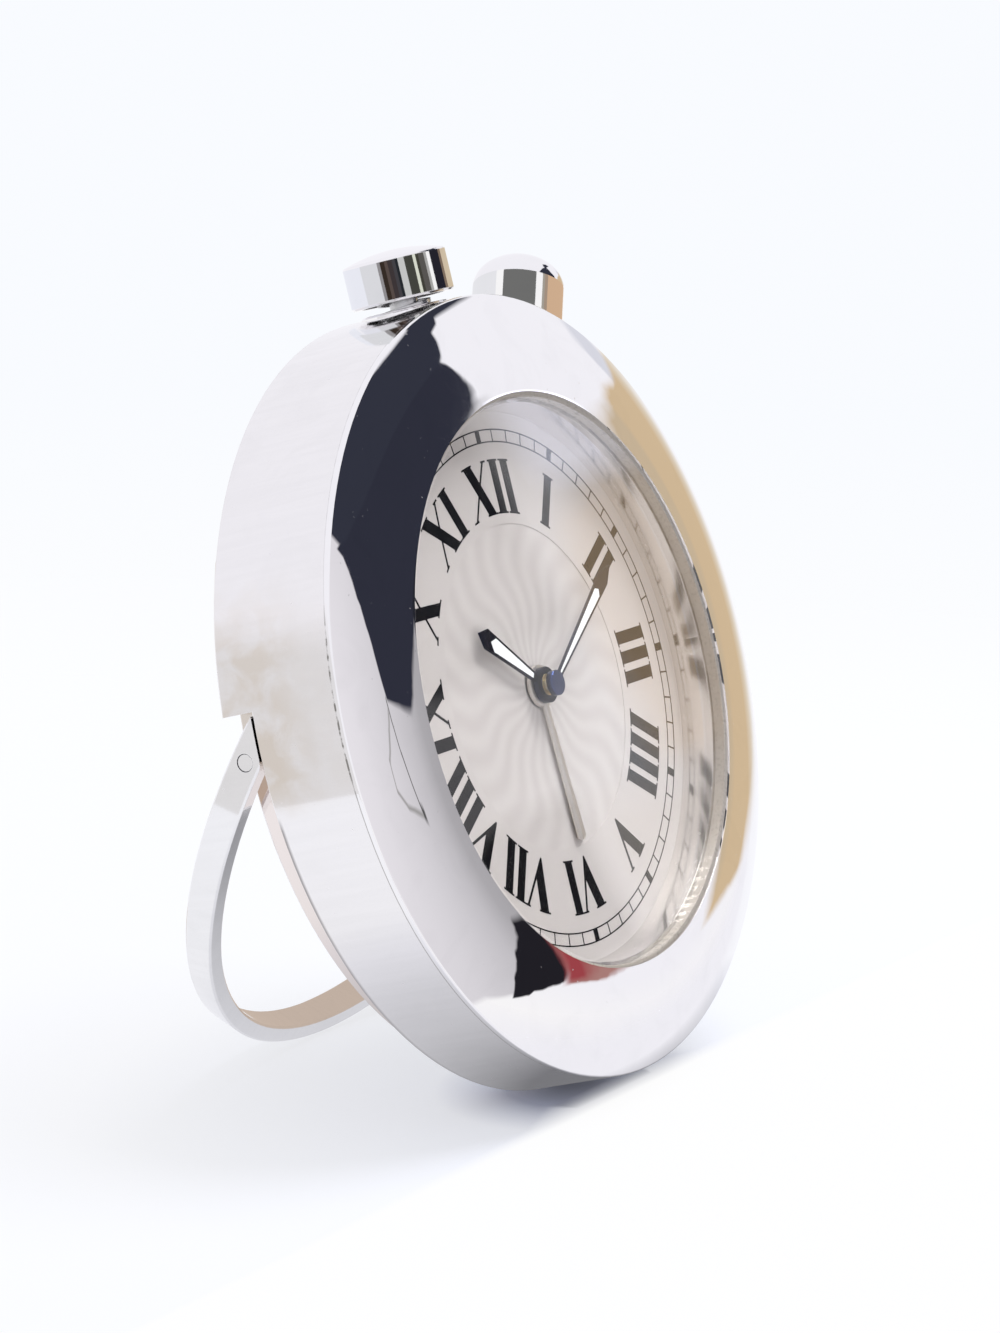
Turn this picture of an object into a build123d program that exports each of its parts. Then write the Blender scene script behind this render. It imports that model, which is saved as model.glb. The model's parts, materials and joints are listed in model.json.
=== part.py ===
from build123d import *
from math import atan2, cos, degrees, radians, sin, sqrt, tan
import os

os.makedirs("parts", exist_ok=True)

# Travel alarm clock. The clock's own frame has its origin at the centre of the bezel's rim plane,
# +X towards 3 o'clock, +Y towards 12 o'clock and +Z out of the dial. At the end the whole clock is
# leaned back onto its open stand, with +Z up and the table at height zero.

# Fits shared by all pieces
fit_gap = 0.02
running_gap = 0.05
overrun = 3.0
edge_break = 0.2

# Case band and the rebate that takes the folded stand
holder_width = 10.0
seat_shelf_width = 1.2
boss_wall = 1.8
rebate_depth = 3.0
back_thickness = 1.5
back_gap = 1.4
front_wall = 2.0
dial_seat_width = 1.4
ledge_thickness = 1.5
notch_gap = 0.15

# Stand hoop and its hinge
stand_width = 3.3
stand_thickness = 1.85
stand_play = 0.15
stand_open_angle = 41.25
hinge_height = 0.9
hinge_pin_radius = 0.85
hinge_pin_inset = 0.1
hinge_pin_floor = 0.3
hinge_tip_flat = 0.25
hinge_pad_gap = 0.12

# Bezel and crystal
seam_depth = 0.5
bezel_rise = 2.75
bezel_width = 10.6
dome_height = 0.75
rim_rounding = 0.35
crystal_shelf_width = 1.8
crystal_thickness = 1.3
crystal_recess = 0.25
gasket_thickness = 0.35
gasket_height = 1.1

# Inner ring and dial
inner_ring_foot_width = 1.1
inner_ring_top_width = 0.8
dial_depth = 2.3
dial_thickness = 0.5
dial_gap = 0.2
dial_centre_radius = 16.8
dial_centre_recess = 0.06
dial_foot_radius = 0.5
dial_foot_length = 1.0
dial_foot_reach = 18.0
dial_foot_angles = (75, 255)

# Hands and the pipes that carry them
minute_hand_angle = 58.2
hour_hand_angle = 304.85
alarm_hand_angle = 175.8
arbor_radius = 0.6
hour_pipe_wall = 0.45
alarm_pipe_wall = 0.35
bush_wall = 0.65
alarm_hand_lift = 0.25
hour_hand_lift = 0.8
minute_hand_lift = 2.1
hand_thickness = 0.2
alarm_boss_radius = 2.15
alarm_boss_height = 0.35
hour_boss_radius = 1.85
hour_boss_height = 0.5
minute_boss_radius = 1.3
cap_height = 0.3
cap_rounding = 0.12
hour_hand_length = 12.3
hour_hand_widest = 10.9
hour_hand_base_width = 1.0
hour_hand_width = 2.25
minute_hand_length = 18.8
minute_hand_widest = 16.6
minute_hand_base_width = 0.75
minute_hand_width = 1.75
alarm_hand_length = 16.3
alarm_hand_base_width = 0.95
alarm_hand_width = 1.45
alarm_hand_bevel = 0.35
inlay_border = 0.26
inlay_start_gap = 0.35
inlay_end_share = 0.86

# Controls on the band
control_depth_share = 0.526
button_radius = 5.3
button_height = 4.4
button_dome = 0.9
button_rounding = 0.3
button_wall = 1.0
button_gap = 0.85
button_travel = 0.8
button_stem_radius = 1.5
collar_radius = 4.65
collar_rise = 0.15
collar_seat_depth = 0.6
collar_rounding = 0.2
collar_neck_radius = 3.6
spring_well_radius = 3.1
spring_well_depth = 2.5
spring_radius = 2.55
spring_wire = 0.4
spring_turns = 5
clip_radius = 2.4
clip_thickness = 0.4
switch_width = 5.0
switch_depth = 2.0
switch_height = 3.0
crown_angle = 30
crown_radius = 4.85
crown_gap = 0.5
crown_wall_height = 5.4
crown_shoulder_radius = 3.0
crown_shoulder_angle = 50
crown_bevel = 0.3
crown_travel = 1.0
crown_stem_radius = 0.9
crown_tube_radius = 2.6
crown_tube_gap = 0.1
crown_stem_depth = 2.0
stem_entry_length = 7.4
clutch_radius = 1.5
clutch_length = 2.0
stem_groove_depth = 0.25
lever_stem_gap = 4.0
lever_thickness = 0.5
lever_width = 3.2
lever_length = 3.9
lever_tail = 1.5

# Movement
plate_thickness = 1.2
cover_wall = 1.0
holder_gap = 0.1
back_lip_depth = 1.1
back_lip_wall = 1.0
back_gasket_height = 0.4
column_radius = 1.5
column_edge_gap = 1.3
column_angles = (60, 130, 325)
screw_radius = 0.6
screw_head_radius = 1.1
screw_head_height = 0.6
screw_slot_width = 0.3
screw_slot_depth = 0.3
screw_bite = 0.7

# Gears, all with flat-sided teeth
motion_module = 0.25
train_module = 0.2
addendum_share = 0.72
dedendum_share = 1.0
tooth_tip_share = 0.17
tooth_root_share = 0.52
cannon_teeth = 10
minute_wheel_teeth = 30
minute_pinion_teeth = 8
hour_wheel_teeth = 32
alarm_wheel_teeth = 32
centre_wheel_teeth = 72
third_pinion_teeth = 8
third_wheel_teeth = 60
rotor_pinion_teeth = 6
wheel_thickness = 0.5
pinion_overhang = 0.1
wheel_spacing = 0.3
post_radius = 0.4
minute_wheel_angle = 30
third_wheel_angle = 200
rotor_angle = 150
pivot_depth = 0.5

# Stepping motor
magnet_radius = 1.5
magnet_height = 1.7
magnet_gap = 0.4
stator_thickness = 0.5
stator_width = 14.0
stator_margin = 2.2
coil_edge_gap = 2.9
coil_length = 8.8
coil_radius = 1.9
coil_window_gap = 0.25
core_width = 2.0
core_thickness = 1.0

# Battery and electronics
battery_radius = 5.8
battery_height = 5.4
battery_rounding = 0.4
battery_cap_radius = 4.4
battery_cap_height = 0.3
bay_wheel_gap = 0.556
bay_edge_gap = 2.3
bay_plate_gap = 0.2
bay_gap = 0.3
bay_wall = 0.8
contact_thickness = 0.2
contact_width = 3.0
hatch_seat_width = 1.5
hatch_flange = 0.7
hatch_step = 0.8
hatch_slot_width = 1.2
hatch_slot_length = 10.0
hatch_slot_depth = 0.5
seal_wire = 0.4
board_thickness = 0.6
board_gap = 0.6
board_edge = 3.6
chip_size = 4.0
chip_height = 1.0
chip_place = (12.0, 2.0)
can_radius = 1.0
can_length = 6.0
can_place = (15.0, -7.0)
buzzer_radius = 8.5
buzzer_thickness = 0.4
buzzer_angle = 127.6
buzzer_overhang = 0.9

# Radii, worked out from the movement outwards
centre_wheel_tip_radius = train_module * (centre_wheel_teeth / 2 + addendum_share)
bay_outer_radius = battery_radius + bay_gap + bay_wall
battery_reach = centre_wheel_tip_radius + bay_wheel_gap + bay_outer_radius
plate_radius = battery_reach + bay_outer_radius + bay_edge_gap
cavity_radius = plate_radius + holder_width
back_seat_radius = cavity_radius + seat_shelf_width
boss_radius = back_seat_radius + boss_wall
case_radius = boss_radius + rebate_depth
spigot_radius = case_radius - front_wall
opening_radius = case_radius - bezel_width
bezel_bore_radius = opening_radius + crystal_shelf_width
inner_ring_foot_radius = opening_radius - inner_ring_foot_width
inner_ring_top_radius = opening_radius - inner_ring_top_width
dial_radius = bezel_bore_radius - dial_gap
ledge_radius = dial_radius - dial_seat_width
column_reach = plate_radius - column_radius - column_edge_gap
board_radius = plate_radius - cover_wall - board_gap
coil_reach = plate_radius - cover_wall - coil_radius - coil_edge_gap
hatch_radius = battery_radius + bay_gap + hatch_seat_width
crown_stem_end = plate_radius - cover_wall - stem_entry_length
lever_reach = crown_stem_end + lever_stem_gap

# Levels along the dial's axis, worked out from the sizes above
cover_depth = battery_height + contact_thickness + bay_wall + bay_plate_gap
band_depth = (dial_depth + dial_thickness + plate_thickness + cover_depth
              + back_gap + back_thickness)
control_depth = band_depth * control_depth_share
rear_z = -band_depth
slot_z = rear_z + stand_width + stand_play
hinge_z = rear_z + stand_width / 2
back_inner_z = rear_z + back_thickness
dial_z = -dial_depth
dial_back_z = dial_z - dial_thickness
ledge_back_z = dial_back_z - ledge_thickness
crystal_top_z = bezel_rise - crystal_recess
crystal_seat_z = crystal_top_z - crystal_thickness
plate_back_z = dial_back_z - plate_thickness
cover_back_z = plate_back_z - cover_depth
cover_floor_z = cover_back_z + cover_wall
alarm_wheel_z = plate_back_z - wheel_spacing / 2 - wheel_thickness
hour_wheel_z = alarm_wheel_z - wheel_spacing - wheel_thickness
minute_wheel_z = hour_wheel_z - wheel_spacing - wheel_thickness
centre_wheel_z = minute_wheel_z - wheel_spacing - wheel_thickness
third_wheel_z = centre_wheel_z - wheel_spacing - wheel_thickness
alarm_hand_z = dial_z + alarm_hand_lift
hour_hand_z = dial_z + hour_hand_lift
minute_hand_z = dial_z + minute_hand_lift
hand_top_z = minute_hand_z + hand_thickness

# Radii of the nested pipes
hour_pipe_inner = arbor_radius + running_gap
hour_pipe_outer = hour_pipe_inner + hour_pipe_wall
alarm_pipe_inner = hour_pipe_outer + running_gap
alarm_pipe_outer = alarm_pipe_inner + alarm_pipe_wall
bush_inner = alarm_pipe_outer + running_gap
bush_outer = bush_inner + bush_wall


def at_clock(angle, reach):
    """Point on the dial at a clock angle in degrees and a distance from the centre."""
    return (reach * sin(radians(angle)), reach * cos(radians(angle)))


motion_distance = motion_module * (cannon_teeth + minute_wheel_teeth) / 2
third_distance = train_module * (centre_wheel_teeth + third_pinion_teeth) / 2
rotor_distance = train_module * (third_wheel_teeth + rotor_pinion_teeth) / 2
minute_wheel_place = at_clock(minute_wheel_angle, motion_distance)
third_wheel_place = at_clock(third_wheel_angle, third_distance)
rotor_step = at_clock(rotor_angle, rotor_distance)
rotor_place = (third_wheel_place[0] + rotor_step[0], third_wheel_place[1] + rotor_step[1])
battery_place = (-battery_reach, 0)
buzzer_place = at_clock(buzzer_angle, plate_radius + buzzer_overhang - buzzer_radius)

# Lean of the clock: the rebate's outer edge and the foot of the open stand both meet the table
open_cos = cos(radians(stand_open_angle))
open_sin = sin(radians(stand_open_angle))
foot_reach = case_radius + hinge_height
foot_offset = stand_width / 2 - edge_break
foot_y = hinge_height - foot_reach * open_cos - foot_offset * open_sin
foot_z = hinge_z - foot_reach * open_sin + foot_offset * open_cos
edge_z = slot_z + edge_break
lean_angle = degrees(atan2(foot_y + case_radius, edge_z - foot_z))
rim_height = case_radius * cos(radians(lean_angle)) - edge_z * sin(radians(lean_angle))


def disc(radius, low, high, place=(0, 0)):
    """Solid cylinder along the dial's axis between two levels."""
    solid = Cylinder(radius, high - low, align=(Align.CENTER, Align.CENTER, Align.MIN))
    return Pos(place[0], place[1], low) * solid


def ring(outer, inner, low, high, place=(0, 0)):
    """Plain ring along the dial's axis between two levels."""
    return disc(outer, low, high, place) - disc(inner, low - overrun, high + overrun, place)


def turned(*corners):
    """Solid of revolution about the dial's axis, from corners given as radius and level."""
    outline = make_face(Polyline(*corners, close=True))
    return revolve(Plane.XZ * outline, Axis.Z)


def block(width, depth, low, high, place=(0, 0)):
    """Box centred on a place of the dial between two levels."""
    solid = Box(width, depth, high - low, align=(Align.CENTER, Align.CENTER, Align.MIN))
    return Pos(place[0], place[1], low) * solid


def on_band(angle):
    """Location on the case axis, mid-way down the controls, with local Z out through the band."""
    direction = (sin(radians(angle)), cos(radians(angle)), 0)
    return Plane(origin=(0, 0, -control_depth), x_dir=(0, 0, 1), z_dir=direction).location


def gear(teeth, module, low, high, place, turn):
    """Toothed disc whose first tooth points at a clock angle."""
    pitch_radius = module * teeth / 2
    tip_radius = pitch_radius + addendum_share * module
    root_radius = pitch_radius - dedendum_share * module
    pitch_angle = 360 / teeth
    corners = []
    for number in range(teeth):
        middle = turn + number * pitch_angle
        for radius, share in ((root_radius, -tooth_root_share), (tip_radius, -tooth_tip_share),
                              (tip_radius, tooth_tip_share), (root_radius, tooth_root_share)):
            corners.append(at_clock(middle + share * pitch_angle / 2, radius))
    outline = make_face(Polyline(*corners, close=True))
    return Pos(place[0], place[1], low) * extrude(outline, amount=high - low)


def meshing_turn(own_teeth, other_teeth, other_turn, centre_angle):
    """Clock angle of a gear's first tooth that puts a gap of it over a tooth of its neighbour.

    centre_angle is the clock angle from the neighbour's centre to this gear's centre.
    """
    other_pitch = 360 / other_teeth
    own_pitch = 360 / own_teeth
    past_tooth = ((centre_angle - other_turn) / other_pitch) % 1
    return centre_angle + 180 + (past_tooth + 0.5) * own_pitch


# Case


def case_middle():
    rear_ring_top = slot_z + 2 * edge_break
    front_body = turned(
        (case_radius, -seam_depth),
        (case_radius, slot_z + edge_break),
        (case_radius - edge_break, slot_z),
        (cavity_radius, slot_z),
        (cavity_radius, ledge_back_z),
        (ledge_radius, ledge_back_z),
        (ledge_radius, dial_back_z),
        (spigot_radius, dial_back_z),
        (spigot_radius, -seam_depth),
    )
    boss = turned(
        (boss_radius, slot_z),
        (boss_radius, rear_z + edge_break),
        (boss_radius - edge_break, rear_z),
        (back_seat_radius, rear_z),
        (back_seat_radius, back_inner_z),
        (cavity_radius, back_inner_z),
        (cavity_radius, slot_z),
    )
    upper_ring = turned(
        (case_radius, rear_ring_top),
        (case_radius, rear_z + edge_break),
        (case_radius - edge_break, rear_z),
        (boss_radius - edge_break, rear_z),
        (boss_radius - edge_break, rear_ring_top),
    )
    notch_y = hinge_height + sqrt(stand_tip() ** 2 + (stand_width / 2) ** 2) + notch_gap
    above = Pos(0, notch_y, 0) * Box(
        2 * (case_radius + overrun), case_radius + overrun, 2 * (band_depth + overrun),
        align=(Align.CENTER, Align.MIN, Align.CENTER))
    body = front_body + boss + (upper_ring & above)
    pin_hole = Cylinder(hinge_pin_radius, case_radius, align=(Align.CENTER, Align.CENTER, Align.MIN))
    pivot = Pos(0, hinge_height, hinge_z)
    button_hole = on_band(0) * (
        disc(collar_neck_radius, cavity_radius - overrun, case_radius + overrun)
        + disc(collar_radius, case_radius - collar_seat_depth, case_radius + overrun))
    crown_hole = on_band(crown_angle) * disc(crown_tube_radius, ledge_radius, case_radius + overrun)
    for side in (90, -90):
        body -= pivot * Rot(0, side, 0) * Pos(0, 0, back_seat_radius + hinge_pin_floor) * pin_hole
    return body - button_hole - crown_hole


def bezel():
    width = case_radius - opening_radius
    chord = sqrt(width ** 2 + bezel_rise ** 2)
    crest = ((case_radius + opening_radius) / 2 + dome_height * bezel_rise / chord,
             bezel_rise / 2 + dome_height * width / chord)
    dome = ThreePointArc((case_radius, 0), crest, (opening_radius, bezel_rise))
    walls = Polyline(
        (opening_radius, bezel_rise),
        (opening_radius, crystal_seat_z),
        (bezel_bore_radius, crystal_seat_z),
        (bezel_bore_radius, dial_back_z + fit_gap),
        (spigot_radius - fit_gap, dial_back_z + fit_gap),
        (spigot_radius - fit_gap, -seam_depth),
        (case_radius, -seam_depth),
        (case_radius, 0),
    )
    outline = make_face([dome] + walls.edges())
    rim_corner = outline.vertices().sort_by(lambda v: abs(v.X - case_radius) + abs(v.Y))[0]
    outline = fillet(rim_corner, rim_rounding)
    return revolve(Plane.XZ * outline, Axis.Z)


def crystal():
    radius = opening_radius - gasket_thickness
    return turned(
        (0, crystal_seat_z),
        (radius, crystal_seat_z),
        (radius, crystal_top_z - edge_break),
        (radius - edge_break, crystal_top_z),
        (0, crystal_top_z),
    )


def crystal_gasket():
    inner = opening_radius - gasket_thickness
    return ring(opening_radius, inner, crystal_seat_z, crystal_seat_z + gasket_height)


def inner_ring():
    outer = bezel_bore_radius - fit_gap
    return turned(
        (inner_ring_foot_radius, dial_z),
        (outer, dial_z),
        (outer, crystal_seat_z),
        (inner_ring_top_radius, crystal_seat_z),
    )


def dial():
    plate = turned(
        (bush_outer + fit_gap, dial_back_z),
        (dial_radius, dial_back_z),
        (dial_radius, dial_z),
        (dial_centre_radius, dial_z),
        (dial_centre_radius, dial_z - dial_centre_recess),
        (bush_outer + fit_gap, dial_z - dial_centre_recess),
    )
    for angle in dial_foot_angles:
        foot = disc(dial_foot_radius, dial_back_z - dial_foot_length, dial_back_z,
                    at_clock(angle, dial_foot_reach))
        plate += foot
    return plate


def case_back():
    rim_z = back_inner_z - back_gasket_height
    lip_outer = cavity_radius - running_gap
    body = turned(
        (0, rear_z),
        (back_seat_radius - fit_gap, rear_z),
        (back_seat_radius - fit_gap, rim_z),
        (lip_outer, rim_z),
        (lip_outer, back_inner_z + back_lip_depth - back_gasket_height),
        (lip_outer - back_lip_wall, back_inner_z + back_lip_depth - back_gasket_height),
        (lip_outer - back_lip_wall, back_inner_z),
        (0, back_inner_z),
    )
    opening = disc(hatch_radius + running_gap, rear_z - overrun, rear_z + hatch_flange, battery_place)
    neck = disc(hatch_radius - hatch_step + running_gap, rear_z, back_inner_z + overrun, battery_place)
    return body - opening - neck


def back_gasket():
    inner = cavity_radius + running_gap
    outer = back_seat_radius - fit_gap
    return ring(outer, inner, back_inner_z - back_gasket_height, back_inner_z)


def battery_hatch():
    flange = disc(hatch_radius, rear_z, rear_z + hatch_flange - seal_wire / 2, battery_place)
    neck = disc(hatch_radius - hatch_step, rear_z, back_inner_z, battery_place)
    slot = block(hatch_slot_width, hatch_slot_length, rear_z - overrun, rear_z + hatch_slot_depth,
                 battery_place)
    return flange + neck - slot


def hatch_seal():
    top = rear_z + hatch_flange
    outer = hatch_radius - fit_gap
    return ring(outer, outer - seal_wire, top - seal_wire / 2, top, battery_place)


# Stand


def stand_tip():
    """Height of the arms' blunt ends above the hinge axis."""
    return stand_width / 2 / tan(radians(stand_open_angle / 2)) - hinge_tip_flat


def stand_side():
    """Side outline of the folded stand, straight below the hinge axis.

    Above the axis the front face bends round it and runs on as a wedge, which lies along the rebate's
    face when the stand is open and stops it there.
    """
    half = stand_width / 2
    bend = ThreePointArc(
        (0, half),
        (half * sin(radians(stand_open_angle / 2)), half * cos(radians(stand_open_angle / 2))),
        (half * open_sin, half * open_cos))
    walls = Polyline(
        bend @ 1,
        (stand_tip(), (half - stand_tip() * open_sin) / open_cos),
        (stand_tip(), -half),
        (-foot_reach - overrun, -half),
        (-foot_reach - overrun, half),
        (0, half),
    )
    return Plane.YZ * Pos(hinge_height, hinge_z) * make_face([bend] + walls.edges())


def stand():
    front = hinge_z + stand_width / 2
    rear = hinge_z - stand_width / 2
    inner = case_radius - stand_thickness
    hoop = turned(
        (case_radius, front - edge_break),
        (case_radius - edge_break, front),
        (inner + edge_break, front),
        (inner, front - edge_break),
        (inner, rear + edge_break),
        (inner + edge_break, rear),
        (case_radius - edge_break, rear),
        (case_radius, rear + edge_break),
    )
    hoop = hoop & extrude(stand_side(), amount=case_radius + overrun, both=True)
    pad_start = boss_radius + hinge_pad_gap
    pad = Cylinder(stand_width / 2, inner + stand_thickness / 2 - pad_start,
                   align=(Align.CENTER, Align.CENTER, Align.MIN))
    pin_bore = Cylinder(hinge_pin_radius + running_gap, 2 * (case_radius + overrun))
    pivot = Pos(0, hinge_height, hinge_z)
    for side in (90, -90):
        hoop += pivot * Rot(0, side, 0) * Pos(0, 0, pad_start) * pad
    folded = hoop - pivot * Rot(0, 90, 0) * pin_bore
    return pivot * Rot(stand_open_angle, 0, 0) * Pos(0, -hinge_height, -hinge_z) * folded


def hinge_pins():
    start = back_seat_radius + hinge_pin_floor
    length = case_radius - hinge_pin_inset - start
    pin = Cylinder(hinge_pin_radius - fit_gap, length, align=(Align.CENTER, Align.CENTER, Align.MIN))
    pivot = Pos(0, hinge_height, hinge_z)
    pins = [pivot * Rot(0, side, 0) * Pos(0, 0, start) * pin for side in (90, -90)]
    return Compound(pins)


# Controls on the band


def collar_top():
    return case_radius + collar_rise


def button_foot():
    return collar_top() + button_gap


def button_collar():
    seat = case_radius - collar_seat_depth
    top = collar_top()
    well_floor = top - spring_well_depth
    return on_band(0) * turned(
        (button_stem_radius + running_gap, cavity_radius),
        (collar_neck_radius - fit_gap, cavity_radius),
        (collar_neck_radius - fit_gap, seat),
        (collar_radius - fit_gap, seat),
        (collar_radius - fit_gap, top - collar_rounding),
        (collar_radius - fit_gap - collar_rounding, top),
        (spring_well_radius, top),
        (spring_well_radius, well_floor),
        (button_stem_radius + running_gap, well_floor),
    )


def button_head():
    foot = button_foot()
    shoulder = foot + button_height
    ceiling = shoulder - button_wall
    dome = ThreePointArc((-button_radius, shoulder), (0, shoulder + button_dome), (button_radius, shoulder))
    cap = make_face([dome, Line((button_radius, shoulder), (-button_radius, shoulder))])
    cap = revolve(Plane.XZ * (cap & Pos(button_radius, shoulder) * Rectangle(
        2 * button_radius, 4 * button_dome)), Axis.Z)
    body = turned(
        (0, ceiling),
        (button_radius - button_wall, ceiling),
        (button_radius - button_wall, foot),
        (button_radius - edge_break, foot),
        (button_radius, foot + edge_break),
        (button_radius, shoulder),
        (0, shoulder),
    )
    body = body + cap
    crest = body.edges().filter_by(GeomType.CIRCLE).filter_by(
        lambda e: abs(e.radius - button_radius) < edge_break / 2 and e.center().Z > foot + edge_break * 2)
    body = fillet(crest, button_rounding)
    return on_band(0) * body


def button_stem():
    ceiling = button_foot() + button_height - button_wall
    clip_top = cavity_radius - running_gap
    end = stem_end()
    rod = disc(button_stem_radius, end, ceiling)
    groove_clip = disc(clip_radius, clip_top - clip_thickness, clip_top)
    return on_band(0) * (rod + groove_clip)


def stem_end():
    """Distance from the case axis of the stem's inner end, just clear of the pressed switch."""
    return plate_radius + holder_gap + switch_depth + button_travel + running_gap


def button_spring():
    floor = collar_top() - spring_well_depth
    ceiling = button_foot() + button_height - button_wall
    height = ceiling - floor - spring_wire - 2 * fit_gap
    path = Helix(height / spring_turns, height, spring_radius)
    start = path @ 0
    profile = Plane(origin=start, x_dir=(1, 0, 0), z_dir=path % 0) * Rectangle(spring_wire, spring_wire)
    coil = sweep(profile, path=path, is_frenet=True)
    return on_band(0) * Pos(0, 0, floor + spring_wire / 2 + fit_gap) * coil


def crown_foot():
    return case_radius + crown_gap


def crown():
    foot = crown_foot()
    wall_top = foot + crown_wall_height
    bore_radius = crown_stem_radius + fit_gap
    bore_top = foot + crown_stem_depth
    turn = radians(crown_shoulder_angle)
    crest_start = crown_radius - crown_shoulder_radius * (1 - cos(turn))
    crest_radius = crest_start / cos(turn)
    shoulder = JernArc((crown_radius, wall_top), (0, 1), crown_shoulder_radius, crown_shoulder_angle)
    crest = JernArc(shoulder @ 1, shoulder % 1, crest_radius, 90 - crown_shoulder_angle)
    walls = Polyline(
        crest @ 1,
        (0, bore_top),
        (bore_radius, bore_top),
        (bore_radius, foot),
        (crown_radius - crown_bevel, foot),
        (crown_radius, foot + crown_bevel),
        (crown_radius, wall_top),
    )
    outline = make_face([shoulder, crest] + walls.edges())
    return on_band(crown_angle) * revolve(Plane.XZ * outline, Axis.Z)


def crown_tube():
    top = crown_foot() - crown_tube_gap
    return on_band(crown_angle) * ring(
        crown_tube_radius - fit_gap, crown_stem_radius + running_gap, cavity_radius - running_gap, top)


def crown_stem():
    top = crown_foot() + crown_stem_depth
    rod = disc(crown_stem_radius, crown_stem_end, top)
    clutch = disc(clutch_radius, crown_stem_end, crown_stem_end + clutch_length)
    groove = ring(crown_stem_radius + overrun, crown_stem_radius - stem_groove_depth,
                  lever_reach - running_gap, lever_reach + lever_thickness + running_gap)
    return on_band(crown_angle) * (rod + clutch - groove)


def setting_lever():
    """Forked plate in the stem's groove, which slides with the stem and lets it turn in the fork."""
    neck = crown_stem_radius - stem_groove_depth + running_gap
    plate = Pos(-lever_tail, 0, 0) * Box(
        lever_length, lever_width, lever_thickness, align=(Align.MIN, Align.CENTER, Align.MIN))
    fork = Box(lever_tail + overrun, 2 * neck, 2 * overrun, align=(Align.MAX, Align.CENTER, Align.CENTER))
    plate = plate - fork - disc(neck, -overrun, overrun)
    return on_band(crown_angle) * Pos(0, 0, lever_reach) * plate


# Hands


def hand_outline(base, widest, length, base_width, width):
    """Half-pointed baton that points to 12 o'clock, narrow at the hub."""
    half_base = base_width / 2
    half = width / 2
    return make_face(Polyline(
        (-half_base, base), (-half, widest), (0, length), (half, widest), (half_base, base), close=True))


def inlay_outline(base, widest, base_width, width):
    """White centre of a hand, one border inside its frame."""
    start = base + inlay_start_gap
    end = widest * inlay_end_share
    slope = (width - base_width) / (widest - base)
    start_half = (base_width + slope * (start - base)) / 2 - inlay_border
    end_half = (base_width + slope * (end - base)) / 2 - inlay_border
    return make_face(Polyline(
        (-start_half, start), (-end_half, end), (0, end + end_half), (end_half, end), (start_half, start),
        close=True))


def framed_hand(boss_radius_value, bore, low, boss_low, boss_high, widest, length, base_width, width):
    base = boss_radius_value * inlay_end_share
    blade = extrude(hand_outline(base, widest, length, base_width, width), amount=hand_thickness)
    window = extrude(inlay_outline(boss_radius_value, widest, base_width, width), amount=hand_thickness)
    blade = Pos(0, 0, low) * (blade - window)
    boss = disc(boss_radius_value, boss_low, boss_high)
    return blade + boss - disc(bore, boss_low - overrun, boss_high + overrun)


def hour_hand():
    hand = framed_hand(hour_boss_radius, hour_pipe_outer, hour_hand_z, hour_hand_z - hand_thickness / 2,
                       hour_hand_z + hour_boss_height, hour_hand_widest, hour_hand_length,
                       hour_hand_base_width, hour_hand_width)
    return Rot(0, 0, -hour_hand_angle) * hand


def hour_hand_inlay():
    outline = inlay_outline(hour_boss_radius, hour_hand_widest, hour_hand_base_width, hour_hand_width)
    return Rot(0, 0, -hour_hand_angle) * Pos(0, 0, hour_hand_z) * extrude(outline, amount=hand_thickness)


def minute_hand():
    hand = framed_hand(minute_boss_radius, arbor_radius, minute_hand_z, minute_hand_z - hand_thickness,
                       hand_top_z, minute_hand_widest, minute_hand_length, minute_hand_base_width,
                       minute_hand_width)
    return Rot(0, 0, -minute_hand_angle) * hand


def minute_hand_inlay():
    outline = inlay_outline(minute_boss_radius, minute_hand_widest, minute_hand_base_width, minute_hand_width)
    return Rot(0, 0, -minute_hand_angle) * Pos(0, 0, minute_hand_z) * extrude(outline, amount=hand_thickness)


def hand_cap():
    low = hand_top_z
    high = low + cap_height
    return turned(
        (0, low),
        (minute_boss_radius, low),
        (minute_boss_radius, high - cap_rounding),
        (minute_boss_radius - cap_rounding, high),
        (0, high),
    )


def alarm_hand():
    base = alarm_boss_radius * inlay_end_share
    half_base = alarm_hand_base_width / 2
    half = alarm_hand_width / 2
    outline = make_face(Polyline(
        (-half_base, base), (-half, alarm_hand_length - alarm_hand_bevel), (0, alarm_hand_length),
        (half, alarm_hand_length - alarm_hand_bevel), (half_base, base), close=True))
    blade = Pos(0, 0, alarm_hand_z) * extrude(outline, amount=hand_thickness)
    boss = disc(alarm_boss_radius, alarm_hand_z - hand_thickness / 2, alarm_hand_z + alarm_boss_height)
    bore = disc(alarm_pipe_outer, alarm_hand_z - overrun, alarm_hand_z + overrun)
    return Rot(0, 0, -alarm_hand_angle) * (blade + boss - bore)


# Movement


def movement_plate():
    plate = disc(plate_radius, plate_back_z, dial_back_z)
    plate -= disc(bush_outer, plate_back_z - overrun, dial_back_z + overrun)
    for angle in dial_foot_angles:
        plate -= disc(dial_foot_radius + fit_gap, dial_back_z - dial_foot_length - fit_gap,
                      dial_back_z + overrun, at_clock(angle, dial_foot_reach))
    for place in (third_wheel_place, rotor_place):
        plate -= disc(post_radius + running_gap, plate_back_z - overrun, plate_back_z + pivot_depth, place)
    plate -= disc(post_radius, plate_back_z - overrun, plate_back_z + pivot_depth, minute_wheel_place)
    for angle in column_angles:
        plate -= disc(screw_radius, plate_back_z - overrun, plate_back_z + screw_bite + fit_gap,
                      at_clock(angle, column_reach))
    return plate


def centre_bush():
    return ring(bush_outer, bush_inner, plate_back_z, dial_z - dial_centre_recess)


def bay_floor_z():
    return cover_back_z + battery_height + contact_thickness


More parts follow.
